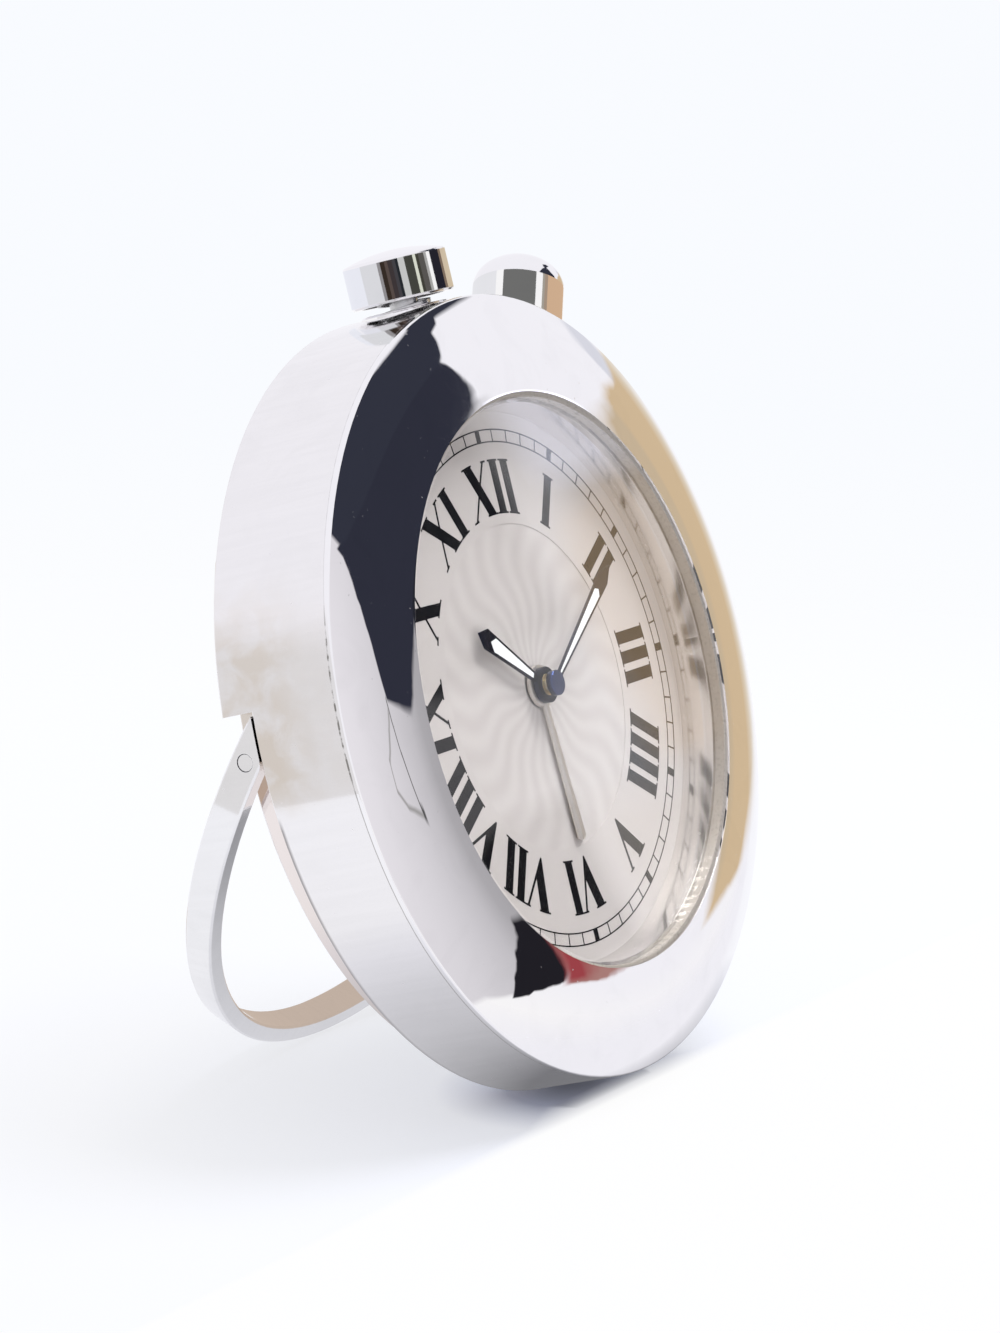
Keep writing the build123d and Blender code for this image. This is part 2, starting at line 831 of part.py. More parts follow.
def movement_cover():
    cup = disc(plate_radius, cover_back_z, plate_back_z)
    cup -= disc(plate_radius - cover_wall, cover_floor_z, plate_back_z + overrun)
    cup += disc(bay_outer_radius, cover_floor_z, bay_floor_z() + bay_wall, battery_place)
    cup -= disc(battery_radius + bay_gap, cover_back_z - overrun, bay_floor_z(), battery_place)
    for angle in column_angles:
        place = at_clock(angle, column_reach)
        cup += disc(column_radius, cover_back_z, plate_back_z, place)
        cup -= disc(screw_radius + running_gap, cover_back_z - overrun, plate_back_z + overrun, place)
    for place in (third_wheel_place, rotor_place, (0, 0)):
        cup -= disc(post_radius + running_gap, cover_floor_z - pivot_depth, cover_floor_z + overrun, place)
    stem_hole = on_band(crown_angle) * disc(clutch_radius + running_gap, crown_stem_end, cavity_radius)
    return cup - stem_hole


def movement_screws():
    screws = []
    for angle in column_angles:
        place = at_clock(angle, column_reach)
        shank = disc(screw_radius, cover_back_z, plate_back_z + screw_bite, place)
        head = disc(screw_head_radius, cover_back_z - screw_head_height, cover_back_z, place)
        slot = block(2 * screw_head_radius + overrun, screw_slot_width, cover_back_z - screw_head_height - overrun,
                     cover_back_z - screw_head_height + screw_slot_depth, place)
        screws.append(shank + head - slot)
    return Compound(screws)


def holder_back_z():
    return back_inner_z + back_lip_depth - back_gasket_height + holder_gap


def movement_holder():
    inner = plate_radius + holder_gap
    body = turned(
        (inner, dial_back_z),
        (ledge_radius - holder_gap, dial_back_z),
        (ledge_radius - holder_gap, ledge_back_z),
        (cavity_radius - holder_gap, ledge_back_z),
        (cavity_radius - holder_gap, holder_back_z()),
        (inner, holder_back_z()),
    )
    stem_hole = disc(clip_radius + holder_gap, plate_radius - overrun, cavity_radius + overrun)
    crown_hole = disc(clutch_radius + holder_gap, plate_radius - overrun, cavity_radius + overrun)
    pocket = Pos(0, plate_radius + switch_depth / 2, -control_depth) * Box(
        switch_width + 2 * holder_gap, switch_depth + 2 * holder_gap, switch_height + 2 * holder_gap)
    return body - on_band(0) * stem_hole - on_band(crown_angle) * crown_hole - pocket


def alarm_switch():
    return Pos(0, plate_radius + holder_gap / 2 + switch_depth / 2, -control_depth) * Box(
        switch_width, switch_depth, switch_height)


# Gears of the motion work and of the going train


cannon_turn = minute_hand_angle
minute_wheel_turn = meshing_turn(minute_wheel_teeth, cannon_teeth, cannon_turn, minute_wheel_angle)
minute_pinion_turn = minute_wheel_turn
hour_wheel_turn = meshing_turn(
    hour_wheel_teeth, minute_pinion_teeth, minute_pinion_turn, minute_wheel_angle + 180)
centre_wheel_turn = minute_hand_angle
third_pinion_turn = meshing_turn(
    third_pinion_teeth, centre_wheel_teeth, centre_wheel_turn, third_wheel_angle)
third_wheel_turn = third_pinion_turn
rotor_turn = meshing_turn(rotor_pinion_teeth, third_wheel_teeth, third_wheel_turn, rotor_angle)


def minute_arbor():
    cannon = gear(cannon_teeth, motion_module, minute_wheel_z - pinion_overhang,
                  minute_wheel_z + wheel_thickness + pinion_overhang, (0, 0), cannon_turn)
    shaft = disc(arbor_radius, cover_floor_z, hand_top_z)
    pivot = disc(post_radius, cover_floor_z - pivot_depth + running_gap, cover_floor_z)
    return cannon + shaft + pivot


def centre_wheel():
    wheel = gear(centre_wheel_teeth, train_module, centre_wheel_z, centre_wheel_z + wheel_thickness,
                 (0, 0), centre_wheel_turn)
    return wheel - disc(arbor_radius, centre_wheel_z - overrun, centre_wheel_z + overrun)


def minute_wheel():
    wheel = gear(minute_wheel_teeth, motion_module, minute_wheel_z, minute_wheel_z + wheel_thickness,
                 minute_wheel_place, minute_wheel_turn)
    pinion = gear(minute_pinion_teeth, motion_module, minute_wheel_z + wheel_thickness,
                  hour_wheel_z + wheel_thickness + pinion_overhang, minute_wheel_place, minute_pinion_turn)
    bore = disc(post_radius + running_gap, minute_wheel_z - overrun, plate_back_z, minute_wheel_place)
    return wheel + pinion - bore


def minute_wheel_post():
    return disc(post_radius, minute_wheel_z - pinion_overhang, plate_back_z + pivot_depth - fit_gap,
                minute_wheel_place)


def hour_wheel():
    wheel = gear(hour_wheel_teeth, motion_module, hour_wheel_z, hour_wheel_z + wheel_thickness, (0, 0),
                 hour_wheel_turn)
    pipe = disc(hour_pipe_outer, hour_wheel_z, hour_hand_z + hour_boss_height)
    return wheel + pipe - disc(hour_pipe_inner, hour_wheel_z - overrun, hand_top_z)


def alarm_wheel():
    wheel = gear(alarm_wheel_teeth, motion_module, alarm_wheel_z, alarm_wheel_z + wheel_thickness, (0, 0),
                 alarm_hand_angle)
    pipe = disc(alarm_pipe_outer, alarm_wheel_z, alarm_hand_z + alarm_boss_height)
    return wheel + pipe - disc(alarm_pipe_inner, alarm_wheel_z - overrun, hand_top_z)


def third_wheel():
    wheel = gear(third_wheel_teeth, train_module, third_wheel_z, third_wheel_z + wheel_thickness,
                 third_wheel_place, third_wheel_turn)
    pinion = gear(third_pinion_teeth, train_module, third_wheel_z + wheel_thickness,
                  centre_wheel_z + wheel_thickness + pinion_overhang, third_wheel_place, third_pinion_turn)
    arbor = disc(post_radius, cover_floor_z - pivot_depth + running_gap,
                 plate_back_z + pivot_depth - running_gap, third_wheel_place)
    return wheel + pinion + arbor


def magnet_low_z():
    return plate_back_z - wheel_spacing - magnet_height


def rotor():
    pinion = gear(rotor_pinion_teeth, train_module, third_wheel_z - pinion_overhang,
                  third_wheel_z + wheel_thickness + pinion_overhang, rotor_place, rotor_turn)
    magnet = disc(magnet_radius, magnet_low_z(), magnet_low_z() + magnet_height, rotor_place)
    arbor = disc(post_radius, cover_floor_z - pivot_depth + running_gap,
                 plate_back_z + pivot_depth - running_gap, rotor_place)
    return pinion + magnet + arbor


# Stepping motor


def stator_z():
    return magnet_low_z() + (magnet_height - stator_thickness) / 2


def stator():
    top_y = rotor_place[1] + magnet_radius + magnet_gap + stator_margin / 2
    low_y = -coil_reach - core_width / 2
    plate = block(stator_width, top_y - low_y, stator_z(), stator_z() + stator_thickness,
                  (0, (top_y + low_y) / 2))
    window_top = -coil_reach + coil_radius + coil_window_gap
    window = block(coil_length + 2 * coil_window_gap, window_top - low_y + overrun, stator_z() - overrun,
                   stator_z() + overrun, (0, (window_top + low_y - overrun) / 2))
    hole = disc(magnet_radius + magnet_gap, stator_z() - overrun, stator_z() + overrun, rotor_place)
    return plate - window - hole


def coil_core():
    length = stator_width
    return block(length, core_width, stator_z() - core_thickness, stator_z(), (0, -coil_reach))


def coil_winding():
    axis_z = stator_z() - core_thickness / 2
    coil = Cylinder(coil_radius, coil_length)
    hole = Box(core_thickness + 2 * fit_gap, core_width + 2 * fit_gap, coil_length + overrun)
    return Pos(0, -coil_reach, axis_z) * Rot(0, 90, 0) * (coil - hole)


# Battery and electronics


def battery():
    low = cover_back_z
    high = low + battery_height
    return Pos(battery_place[0], 0, 0) * turned(
        (0, low),
        (battery_cap_radius, low),
        (battery_cap_radius, low + battery_cap_height),
        (battery_radius - battery_rounding, low + battery_cap_height),
        (battery_radius, low + battery_cap_height + battery_rounding),
        (battery_radius, high - battery_rounding),
        (battery_radius - battery_rounding, high),
        (0, high),
    )


def front_contact():
    return disc(battery_cap_radius, bay_floor_z() - contact_thickness, bay_floor_z(), battery_place)


def rear_contact():
    """Bowed leaf between the hatch and the battery."""
    span = battery_radius
    low = back_inner_z
    high = cover_back_z
    outer = ThreePointArc((-span, low), (0, high), (span, low))
    inner = ThreePointArc((-span + contact_thickness, low), (0, high - contact_thickness),
                          (span - contact_thickness, low))
    outline = make_face([outer, inner, Line((-span, low), (-span + contact_thickness, low)),
                         Line((span, low), (span - contact_thickness, low))])
    leaf = extrude(Plane.XZ * outline, amount=contact_width / 2, both=True)
    return Pos(battery_place[0], 0, 0) * leaf


def circuit_board():
    board = disc(board_radius, cover_floor_z, cover_floor_z + board_thickness)
    side = Pos(board_edge, 0, 0) * Box(
        board_radius, 2 * board_radius, 2 * band_depth, align=(Align.MIN, Align.CENTER, Align.CENTER))
    board = board & side
    for angle in column_angles:
        board -= disc(column_radius + running_gap, cover_floor_z - overrun, cover_floor_z + overrun,
                      at_clock(angle, column_reach))
    return board


def control_chip():
    base = cover_floor_z + board_thickness
    return block(chip_size, chip_size, base, base + chip_height, chip_place)


def timing_crystal():
    base = cover_floor_z + board_thickness + can_radius
    return Pos(can_place[0], can_place[1], base) * Rot(90, 0, 0) * Cylinder(can_radius, can_length)


def buzzer():
    return disc(buzzer_radius, back_inner_z, back_inner_z + buzzer_thickness, buzzer_place)


makers = {
    "case_middle": case_middle,
    "bezel": bezel,
    "crystal": crystal,
    "crystal_gasket": crystal_gasket,
    "inner_ring": inner_ring,
    "dial": dial,
    "case_back": case_back,
    "back_gasket": back_gasket,
    "battery_hatch": battery_hatch,
    "hatch_seal": hatch_seal,
    "stand": stand,
    "hinge_pins": hinge_pins,
    "button_collar": button_collar,
    "button_head": button_head,
    "button_stem": button_stem,
    "button_spring": button_spring,
    "crown": crown,
    "crown_tube": crown_tube,
    "crown_stem": crown_stem,
    "setting_lever": setting_lever,
    "hour_hand": hour_hand,
    "hour_hand_inlay": hour_hand_inlay,
    "minute_hand": minute_hand,
    "minute_hand_inlay": minute_hand_inlay,
    "hand_cap": hand_cap,
    "alarm_hand": alarm_hand,
    "movement_plate": movement_plate,
    "centre_bush": centre_bush,
    "movement_cover": movement_cover,
    "movement_screws": movement_screws,
    "movement_holder": movement_holder,
    "alarm_switch": alarm_switch,
    "minute_arbor": minute_arbor,
    "centre_wheel": centre_wheel,
    "minute_wheel": minute_wheel,
    "minute_wheel_post": minute_wheel_post,
    "hour_wheel": hour_wheel,
    "alarm_wheel": alarm_wheel,
    "third_wheel": third_wheel,
    "rotor": rotor,
    "stator": stator,
    "coil_core": coil_core,
    "coil_winding": coil_winding,
    "battery": battery,
    "front_contact": front_contact,
    "rear_contact": rear_contact,
    "circuit_board": circuit_board,
    "control_chip": control_chip,
    "timing_crystal": timing_crystal,
    "buzzer": buzzer,
}

# The clock leans back on its stand, and the middle of its depth comes over the origin
lean = radians(lean_angle)
leaned = Plane(origin=(0, 0, rim_height), x_dir=(1, 0, 0), z_dir=(0, -cos(lean), sin(lean))).location
pieces = {name: leaned * maker() for name, maker in makers.items()}
depth_middle = Compound(list(pieces.values())).bounding_box().center().Y
for name, piece in pieces.items():
    export_step(Pos(0, -depth_middle, 0) * piece, f"parts/{name}.step")
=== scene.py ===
import json
from math import asin, cos, degrees, hypot, radians, sin

import bpy
from mathutils import Matrix, Vector


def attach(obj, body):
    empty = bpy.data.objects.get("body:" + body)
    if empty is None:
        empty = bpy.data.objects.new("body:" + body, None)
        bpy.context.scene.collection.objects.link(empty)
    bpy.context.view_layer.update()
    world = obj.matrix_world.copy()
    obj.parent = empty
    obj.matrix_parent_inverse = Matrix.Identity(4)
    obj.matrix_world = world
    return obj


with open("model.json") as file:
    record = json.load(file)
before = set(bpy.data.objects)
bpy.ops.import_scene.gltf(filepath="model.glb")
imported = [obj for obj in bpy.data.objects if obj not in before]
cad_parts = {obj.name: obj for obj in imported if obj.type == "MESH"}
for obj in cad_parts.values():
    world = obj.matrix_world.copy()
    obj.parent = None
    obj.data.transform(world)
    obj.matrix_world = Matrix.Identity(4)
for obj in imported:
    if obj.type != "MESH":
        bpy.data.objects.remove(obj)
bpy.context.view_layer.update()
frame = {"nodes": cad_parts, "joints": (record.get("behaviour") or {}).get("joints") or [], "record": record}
nodes = frame["nodes"]
joints = {joint["name"]: joint for joint in frame["joints"]}
mm = 0.001

# Sizes read from the clock, in millimetres in its own frame: x to 3 o'clock, y to 12, z out of the dial
case_radius = 40.0
seam_level = -0.5
dial_level = -2.3
dial_centre_radius = 16.8
centre_wheel_level = -7.05
rear_level = -13.5
slot_level = -10.05
print_thickness = 0.02
numeral_foot = 17.85
numeral_head = 23.45
track_inner = 25.15
track_outer = 26.55
track_line = 0.14
minute_mark_width = 0.16
block_width = 0.82

# The clock's own frame, found from the hands' axis
normal = Vector(joints["minute_turn"]["axis"]).normalized()
across = Vector((1, 0, 0))
towards_twelve = normal.cross(across)
rim_centre = Vector(joints["minute_turn"]["pos_m"]) - normal * centre_wheel_level * mm
clock_turn = Matrix((across, towards_twelve, normal)).transposed()
clock_place = Matrix.Translation(rim_centre) @ clock_turn.to_4x4() @ Matrix.Scale(mm, 4)


def deselect_all():
    if bpy.context.object and bpy.context.object.mode != "OBJECT":
        bpy.ops.object.mode_set(mode="OBJECT")
    bpy.ops.object.select_all(action="DESELECT")


def work_on(piece):
    deselect_all()
    piece.select_set(True)
    bpy.context.view_layer.objects.active = piece


def place_in_clock(piece):
    """Puts a mesh that was drawn in the clock's own millimetres where it belongs."""
    piece.data.transform(clock_place)
    piece.data.update()


# Camera, at the place and angle from which the photograph was taken

camera_spot = Vector((-443.216, 27.031, 264.484))
camera_right = Vector((0.49745, -0.23212, 0.83586))
camera_down = Vector((-0.15982, -0.97156, -0.17469))
camera_forward = Vector((0.85264, -0.04669, -0.5204))

camera_data = bpy.data.cameras.new("camera")
camera_data.sensor_fit = "VERTICAL"
camera_data.sensor_height = 36
camera_data.lens = 138.565
camera_data.clip_start = 0.01
camera = bpy.data.objects.new("camera", camera_data)
bpy.context.scene.collection.objects.link(camera)
camera_axes = Matrix((camera_right, -camera_down, -camera_forward)).transposed()
camera.matrix_world = Matrix.Translation(clock_place @ camera_spot) @ (clock_turn @ camera_axes).to_4x4()
bpy.context.scene.camera = camera


# Nodes that the materials and the surroundings are made of

def add_node(material, kind, **values):
    node = material.node_tree.nodes.new(kind)
    for name, value in values.items():
        if name in node.inputs:
            node.inputs[name].default_value = value
        else:
            setattr(node, name, value)
    return node


def join(material, output, socket):
    material.node_tree.links.new(output, socket)


def feed(material, value, socket):
    """Sets a socket to a plain number or links it to another node's output."""
    if isinstance(value, (int, float)):
        socket.default_value = value
    else:
        join(material, value, socket)


def calculate(material, operation, *values):
    node = add_node(material, "ShaderNodeMath", operation=operation)
    for value, socket in zip(values, node.inputs):
        feed(material, value, socket)
    return node.outputs[0]


def product(material, first, *others):
    for other in others:
        first = calculate(material, "MULTIPLY", first, other)
    return first


def add_share(material, share, factor, start):
    """A start value with a share of another one added to it."""
    return calculate(material, "MULTIPLY_ADD", share, factor, start)


def greatest(material, first, *others):
    for other in others:
        first = calculate(material, "MAXIMUM", first, other)
    return first


def distance(material, x, y):
    """Distance of a point from the origin of its plane."""
    return calculate(material, "SQRT", calculate(material, "MULTIPLY_ADD", x, x, product(material, y, y)))


def remap(material, value, from_low, from_high, to_low, to_high):
    node = add_node(material, "ShaderNodeMapRange")
    names = ("From Min", "From Max", "To Min", "To Max")
    for name, level in zip(names, (from_low, from_high, to_low, to_high)):
        node.inputs[name].default_value = level
    join(material, value, node.inputs["Value"])
    return node.outputs["Result"]


def rise(material, value, low, high):
    """Share that grows from 0 to 1 between two levels of a value."""
    return remap(material, value, low, high, 0.0, 1.0)


def fall(material, value, low, high):
    """Share that drops from 1 to 0 between two levels of a value."""
    return remap(material, value, low, high, 1.0, 0.0)


def within(material, value, limits):
    """Share that grows between the first two limits and drops between the last two."""
    return calculate(material, "MINIMUM", rise(material, value, *limits[:2]),
                     fall(material, value, *limits[2:]))


def split(material, vector):
    node = add_node(material, "ShaderNodeSeparateXYZ")
    join(material, vector, node.inputs[0])
    return node.outputs


def combine(material, x, y, z):
    node = add_node(material, "ShaderNodeCombineXYZ")
    for socket, value in zip(node.inputs, (x, y, z)):
        feed(material, value, socket)
    return node.outputs[0]


def object_coordinates(material):
    return add_node(material, "ShaderNodeTexCoord").outputs["Object"]


def clock_coordinates(material):
    """Object coordinates turned into the clock's own frame, in millimetres."""
    mapping = add_node(material, "ShaderNodeMapping", vector_type="TEXTURE")
    mapping.inputs["Location"].default_value = rim_centre
    mapping.inputs["Rotation"].default_value = clock_turn.to_euler()
    mapping.inputs["Scale"].default_value = (mm, mm, mm)
    join(material, object_coordinates(material), mapping.inputs["Vector"])
    return mapping.outputs["Vector"]


def polar(material, coordinates):
    """Clock angle in radians, distance from the dial's centre and level, of a point of the clock."""
    x, y, level = split(material, coordinates)
    return calculate(material, "ARCTAN2", x, y), distance(material, x, y), level


def noise(material, coordinates, scale, stretch=(1, 1, 1), turn=(0, 0, 0), detail=2.0, distortion=0.0):
    mapping = add_node(material, "ShaderNodeMapping")
    mapping.inputs["Scale"].default_value = stretch
    mapping.inputs["Rotation"].default_value = turn
    texture = add_node(material, "ShaderNodeTexNoise", Scale=scale, Detail=detail, Distortion=distortion)
    join(material, coordinates, mapping.inputs["Vector"])
    join(material, mapping.outputs["Vector"], texture.inputs["Vector"])
    return texture.outputs["Fac"]


def dimmed(colour, share):
    return tuple(share * part for part in colour)


def blend_colours(material, share, first, second):
    node = add_node(material, "ShaderNodeMix", data_type="RGBA")
    for socket, value in ((node.inputs[6], first), (node.inputs[7], second)):
        if isinstance(value, tuple):
            socket.default_value = (*value, 1)
        else:
            join(material, value, socket)
    join(material, share, node.inputs[0])
    return node.outputs[2]


def ramp(material, value, stops):
    """Colour that follows a value from 0 to 1 through places and colours."""
    node = add_node(material, "ShaderNodeValToRGB")
    elements = node.color_ramp.elements
    for element, (place, colour) in zip(elements, (stops[0], stops[-1])):
        element.position = place
        element.color = (*colour, 1)
    for place, colour in stops[1:-1]:
        elements.new(place).color = (*colour, 1)
    join(material, value, node.inputs[0])
    return node.outputs[0]


def mix_shaders(material, share, first, second):
    node = add_node(material, "ShaderNodeMixShader")
    for socket, output in zip(node.inputs, (share, first, second)):
        join(material, output, socket)
    return node.outputs[0]


def bump(material, height, depth, strength=1.0, rounding=0.0):
    """Relief of a depth in millimetres, with edges softened by a rounding in millimetres."""
    node = add_node(material, "ShaderNodeBump", Strength=strength, Distance=depth * mm)
    join(material, height, node.inputs["Height"])
    if rounding:
        bevel = add_node(material, "ShaderNodeBevel", Radius=rounding * mm)
        bevel.samples = 4
        join(material, bevel.outputs[0], node.inputs["Normal"])
    return node.outputs[0]


def new_material(name, colour, metallic, roughness, **sockets):
    material = bpy.data.materials.new(name)
    material.use_nodes = True
    shader = material.node_tree.nodes["Principled BSDF"]
    shader.inputs["Base Color"].default_value = (*colour, 1)
    shader.inputs["Metallic"].default_value = metallic
    shader.inputs["Roughness"].default_value = roughness
    for socket, value in sockets.items():
        shader.inputs[socket.replace("_", " ")].default_value = value
    return material, shader


# Wear of the polished metal: a pattern's scale is per millimetre, its limits are levels from 0 to 1

noise_middle = 0.5
relief_strength = 0.5
hairline_turns = ((0.3, 0.9, 0.2), (1.3, 0.1, 1.1), (0.6, 2.0, 2.4))
hairline_stretch = (7, 0.16, 0.5)
hairline_scale = 1.6
hairline_scale_step = 0.5
hairline_width = 0.012
hairline_patch_scale = 0.09
hairline_patch_limits = (0.5, 0.68)
hairline_roughness = 0.06
hairline_depth = -0.0006
speck_scale = 2.2
speck_limits = (0.77, 0.79)
speck_roughness = 0.2
smudge_scale = 0.16
smudge_limits = (0.5, 0.75)
smudge_shade = 0.965
streak_scale = 1.1
streak_stretch = 0.05
streak_roughness = 0.05
streak_limits = (0.35, 0.65)
streak_shade = 0.955
streak_shade_share = 0.5

# Stain by the hinge: clock angles in degrees, negative on the 9 o'clock side, and levels in millimetres
stain_above = (-84, -79, -74, -68)
stain_above_share = 0.8
stain_smudge = (-98, -92, -84, -62)
stain_levels = (-8.0, -3.0)
stain_front_share = 0.15
blotch_scale = 0.30
blotch_limits = (0.36, 0.58)
blotch_shares = (0.1, 0.85)
stain_tint = (0.77, 0.70, 0.62)

# Round rear boss and the step that it stands on, from the hinges downwards
# Painted light there: a warm reflection of the stand painted on the boss, and a shade painted on the step's
# edge
boss_angles = (90, 94)
boss_levels = (rear_level + 0.1, rear_level + 0.3)
boss_painted_reflection = (0.87, 0.80, 0.77)
step_reaches = (38.0, 39.3)
step_levels = (slot_level + 0.25, slot_level + 0.55)
step_angles = (97, 99)
step_fade_angles = (110, 150)
step_fade_share = 0.3
step_painted_shade = (0.36, 0.34, 0.34)

# Seam between the bezel and the band, dashed at the side and unbroken below it
seam_side = (-97, -92, -76, -68)
seam_half_widths = (0.03, 0.08)
seam_below_share = 0.6
seam_least_share = 0.12
seam_share = 0.8
seam_tint = (0.15, 0.14, 0.115)
seam_roughness = 0.5
dash_scale = 0.9
dash_limits = (0.40, 0.55)
dash_swelling = -0.05


def hairlines(material, coordinates):
    """Thin straight scratches in three directions, as a mask."""
    total = None
    for number, turn in enumerate(hairline_turns):
        field = noise(material, coordinates, hairline_scale + hairline_scale_step * number,
                      hairline_stretch, turn, 3.0)
        from_middle = calculate(material, "ABSOLUTE", calculate(material, "SUBTRACT", field, noise_middle))
        line = fall(material, from_middle, 0.0, hairline_width)
        total = line if total is None else greatest(material, total, line)
    patches = rise(material, noise(material, coordinates, hairline_patch_scale), *hairline_patch_limits)
    return product(material, total, patches)


def stain_and_painted_light_by_hinge(material, place, angle, reach, level, tint):
    """Dull warm blotches above the hinge, a painted warm reflection on the rear boss, painted shade on its
    step.
    """
    side_angle = product(material, angle, degrees(1))
    above = product(material, within(material, side_angle, stain_above), stain_above_share)
    smudge = within(material, side_angle, stain_smudge)
    rear_part = remap(material, level, *stain_levels, 1.0, stain_front_share)
    blotches = remap(material, noise(material, place, blotch_scale, detail=4.0, distortion=0.4),
                     *blotch_limits, *blotch_shares)
    cover = product(material, greatest(material, above, smudge), product(material, rear_part, blotches))
    tint = blend_colours(material, cover, tint, stain_tint)
    # Painted reflection of the stand's warm inside on the boss, and painted shade along the step's edge
    aside = calculate(material, "ABSOLUTE", side_angle)
    on_boss = product(material, rise(material, level, *boss_levels), rise(material, aside, *boss_angles))
    boss_reflection_share = product(material, fall(material, reach, *step_reaches), on_boss)
    tint = blend_colours(material, boss_reflection_share, tint, boss_painted_reflection)
    step_shade_edge = product(material, rise(material, reach, *step_reaches), fall(material, level, *step_levels))
    below_hinge = product(material, rise(material, aside, *step_angles),
                          remap(material, aside, *step_fade_angles, 1.0, step_fade_share))
    return blend_colours(material, product(material, step_shade_edge, below_hinge), tint, step_painted_shade)


def seam_groove(material, place, angle, level):
    """Share of each point that the dark seam covers."""
    side_angle = product(material, angle, degrees(1))
    dashes = rise(material, noise(material, place, dash_scale, detail=3.0), *dash_limits)
    at_side = product(material, within(material, side_angle, seam_side), dashes)
    below_side = fall(material, side_angle, *seam_side[:2])
    strength = add_share(material, below_side, seam_below_share, at_side)
    strength = product(material, greatest(material, strength, seam_least_share), seam_share)
    offset = calculate(material, "ABSOLUTE", calculate(material, "SUBTRACT", level, seam_level))
    offset = calculate(material, "ADD", offset, product(material, at_side, dash_swelling))
    return product(material, fall(material, offset, *seam_half_widths), strength)


def polished_metal(name, colour, haze, seam=False, streaks=0.0, with_stain_and_painted_light=False, rounding=0.12):
    """Mirror finish with hairline scratches, specks, smudges and softly rounded edges."""
    material, shader = new_material(name, colour, 1.0, haze)
    place = clock_coordinates(material)
    angle, reach, level = polar(material, place)
    lines = hairlines(material, place)
    specks = rise(material, noise(material, place, speck_scale, detail=1.0), *speck_limits)
    smudges = rise(material, noise(material, place, smudge_scale, detail=4.0, distortion=1.2),
                   *smudge_limits)
    roughness = add_share(material, lines, hairline_roughness, haze)
    roughness = add_share(material, smudges, haze, roughness)
    roughness = add_share(material, specks, speck_roughness, roughness)
    tint = blend_colours(material, smudges, colour, dimmed(colour, smudge_shade))
    height = lines
    if streaks:
        around = combine(material, product(material, angle, case_radius),
                         product(material, level, streak_stretch), 0.0)
        grain = noise(material, around, streak_scale, detail=5.0)
        height = add_share(material, grain, streaks, lines)
        roughness = add_share(material, grain, streak_roughness, roughness)
        tint = blend_colours(material, remap(material, grain, *streak_limits, 0.0, streak_shade_share), tint,
                             dimmed(colour, streak_shade))
    # Stain by the hinge, with a painted reflection on the rear boss and painted shade on its step
    if with_stain_and_painted_light:
        tint = stain_and_painted_light_by_hinge(material, place, angle, reach, level, tint)
    if seam:
        groove = seam_groove(material, place, angle, level)
        tint = blend_colours(material, groove, tint, seam_tint)
        roughness = add_share(material, groove, seam_roughness, roughness)
    join(material, tint, shader.inputs["Base Color"])
    join(material, roughness, shader.inputs["Roughness"])
    if rounding:
        relief = bump(material, height, hairline_depth, relief_strength, rounding)
        join(material, relief, shader.inputs["Normal"])
    return material


edge_rounding = 0.1
grain_limits = (0.3, 0.7)
mark_spread = 0.6
mark_shade = 0.93
mark_strength = 0.6
wear_scale = 0.12
wear_limits = (0.35, 0.7)
wear_roughness = 0.12
moulded_grain_scale = 3.0
moulded_shade = 0.88
moulded_roughness_range = 0.06


def turned_metal(name, colour, roughness, pitch, depth):
    """Satin metal with fine circular tool marks about the dial's axis."""
    material, shader = new_material(name, colour, 1.0, roughness)
    place = clock_coordinates(material)
    angle, reach, level = polar(material, place)
    around = combine(material, product(material, reach, pitch), product(material, angle, mark_spread), level)
    marks = noise(material, around, 1.0, detail=3.0)
    wear = rise(material, noise(material, place, wear_scale, detail=3.0), *wear_limits)
    join(material, add_share(material, wear, wear_roughness, roughness), shader.inputs["Roughness"])
    join(material, blend_colours(material, marks, dimmed(colour, mark_shade), colour),
         shader.inputs["Base Color"])
    join(material, bump(material, marks, depth, mark_strength, edge_rounding), shader.inputs["Normal"])
    return material


def moulded(name, colour, roughness, grain=0.006, gloss=0.5):
    """Moulded or painted surface with a fine grain."""
    material, shader = new_material(name, colour, 0.0, roughness, Specular_IOR_Level=gloss)
    field = noise(material, clock_coordinates(material), moulded_grain_scale, detail=4.0)
    join(material, blend_colours(material, field, dimmed(colour, moulded_shade), colour),
         shader.inputs["Base Color"])
    join(material, bump(material, field, grain, relief_strength, edge_rounding), shader.inputs["Normal"])
    join(material, remap(material, field, *grain_limits, roughness - moulded_roughness_range,
                         roughness + moulded_roughness_range), shader.inputs["Roughness"])
    return material


ray_count = 24
fine_ray_count = 144
fine_ray_share = 0.12
ray_sway = 0.07
ray_sway_rate = 0.62
ray_edge = 0.15
circle_rate = 9
circle_share = 0.15
dial_relief = 0.006
dial_base = (0.55, 0.515, 0.495)
dial_sheen = 0.1
# Painted sheen on the sunray: its valleys painted darker and its ridges lighter
dial_valley_painted_shade = (0.515, 0.48, 0.462)
dial_ridge_painted_sheen = (0.575, 0.545, 0.522)
dial_grain = (0.59, 0.56, 0.54)
dial_grain_scale = 5.0
dial_grain_share = 0.25
dial_roughness = (0.44, 0.56)


